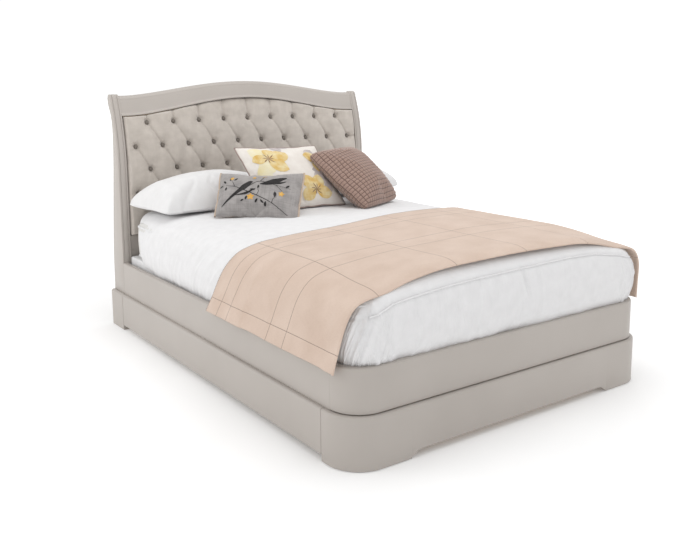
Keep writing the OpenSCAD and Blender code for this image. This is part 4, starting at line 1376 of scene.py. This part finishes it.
STAMENS = ((20, 0.040), (60, 0.030), (100, 0.036), (150, 0.028), (200, 0.034), (250, 0.030), (300, 0.038),
           (340, 0.028))
stamens = [leaf(x, y, a, size, 0.004) for x, y in HEARTS for a, size in STAMENS]
print_on("stamen_print", panel, wide, high, stamens, ink_brown, lift=0.0022)

# %% [markdown]
# ### Knitted cushion
# The brown cover is knitted in a basket stitch: small blocks of ribs stand up between sunken lines. Here
# the stitch is real relief on the panels, and the same rule paints shade into the sunken lines in the finish.

# %% The knitted cushion
STITCH = 0.0198


def basket(u, v):
    """Blocks that stand up between sunken lines, each with a rib or two."""
    cell = np.abs(np.sin(math.pi * u / STITCH) * np.sin(math.pi * v / STITCH)) ** 0.45
    turned = (np.floor(u / STITCH) + np.floor(v / STITCH)) % 2
    rib = np.where(turned > 0, np.sin(3 * math.pi * u / STITCH), np.sin(3 * math.pi * v / STITCH)) ** 2
    return 0.0040 * cell + 0.0010 * rib * cell


def knitted(name, groove_shade, low, high):
    finish, tree, shader = new_finish(name, roughness=0.92, sheen=0.5, specular=0.15)
    turns = node(tree, "SeparateXYZ", Vector=cloth_coords(tree, (math.pi / STITCH, math.pi / STITCH, 1)))
    waves = [maths(tree, "ABSOLUTE", maths(tree, "SINE", turns.outputs[axis])) for axis in ("X", "Y")]
    yarn = node(tree, "TexNoise", Vector=cloth_coords(tree, (240, 240, 1)), Scale=1.0, Detail=3.0)
    wool_tone = two_tone(tree, yarn.outputs["Fac"], low, high)
    # Painted shade: in the sunken lines, where both waves are low, the colour goes to the dark groove shade.
    edge = node(tree, "MapRange", Value=maths(tree, "MINIMUM", *waves), From_Min=0.06, From_Max=0.40)
    colour = node(tree, "MixRGB", Fac=edge.outputs["Result"], Color1=(*groove_shade, 1), Color2=wool_tone)
    tree.links.new(colour.outputs["Color"], shader.inputs["Base Color"])
    add_bump(tree, shader, yarn.outputs["Fac"], 0.6, 0.0012)
    return finish


# The first colour is the painted shade of the sunken lines.
brown_knit = knitted("brown_basket_knit", (0.135, 0.088, 0.072), (0.29, 0.195, 0.16), (0.41, 0.29, 0.245))
KNIT_CORNERS = [(0.198, 0.124, 0.668), (0.548, 0.301, 0.676), (0.414, 0.584, 0.948), (0.030, 0.412, 0.950)]
cushion("knitted_cushion", "knit_cushion", KNIT_CORNERS, 0.170, brown_knit, brown_knit, 0.664,
        columns=48, rows=48, times=4, relief=basket, share_front=0.55, pressure=5.0, pull_in=0.0,
        blunt_corners=0.045, fullness=0.8)
print("basket blocks:", round(STITCH * 1000, 1), "mm")

# %% [markdown]
# ## Floor and finish
# A plain pale floor reaches far past the bed. A faint glow that grows with the distance lets it run into
# the pale background. Last, both sizes are set side by side and the visual size is printed.

# %% Floor and finish
floor_finish, floor_tree, floor_shader = new_finish("white_floor", roughness=0.9, specular=0.1)
floor_grain = node(floor_tree, "TexNoise", Vector=place_coords(floor_tree, (3, 3, 3)), Scale=1.0, Detail=2.0)
floor_colour = two_tone(floor_tree, floor_grain.outputs["Fac"], (0.9, 0.9, 0.9), (0.92, 0.92, 0.92))
floor_tree.links.new(floor_colour, floor_shader.inputs["Base Color"])
# Painted light: the floor glows, at 0.12 beside the bed, which lightens the bed's shadows on it, and up to 0.5 far
# away.
away_from_bed = node(floor_tree, "VectorMath", {"operation": "LENGTH"},
                     _0=place_coords(floor_tree, (1, 1, 1)))
cove = node(floor_tree, "MapRange", Value=away_from_bed.outputs["Value"], From_Min=1.8, From_Max=6.0,
            To_Min=0.12, To_Max=0.5)
floor_shader.inputs["Emission Color"].default_value = (1, 1, 1, 1)
floor_tree.links.new(cove.outputs["Result"], floor_shader.inputs["Emission Strength"])
span = 60.0
floor_corners = [(-span, -span, 0), (span, -span, 0), (span, span, 0), (-span, span, 0)]
floor = piece("floor", floor_corners, [(0, 1, 2, 3)], floor_finish, body=None)
floor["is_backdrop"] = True

low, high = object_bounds()
{"cad": [list(cad_low), list(cad_high)], "visual": [list(low), list(high)]}
print("visual size:", [round(v, 3) for v in high - low])
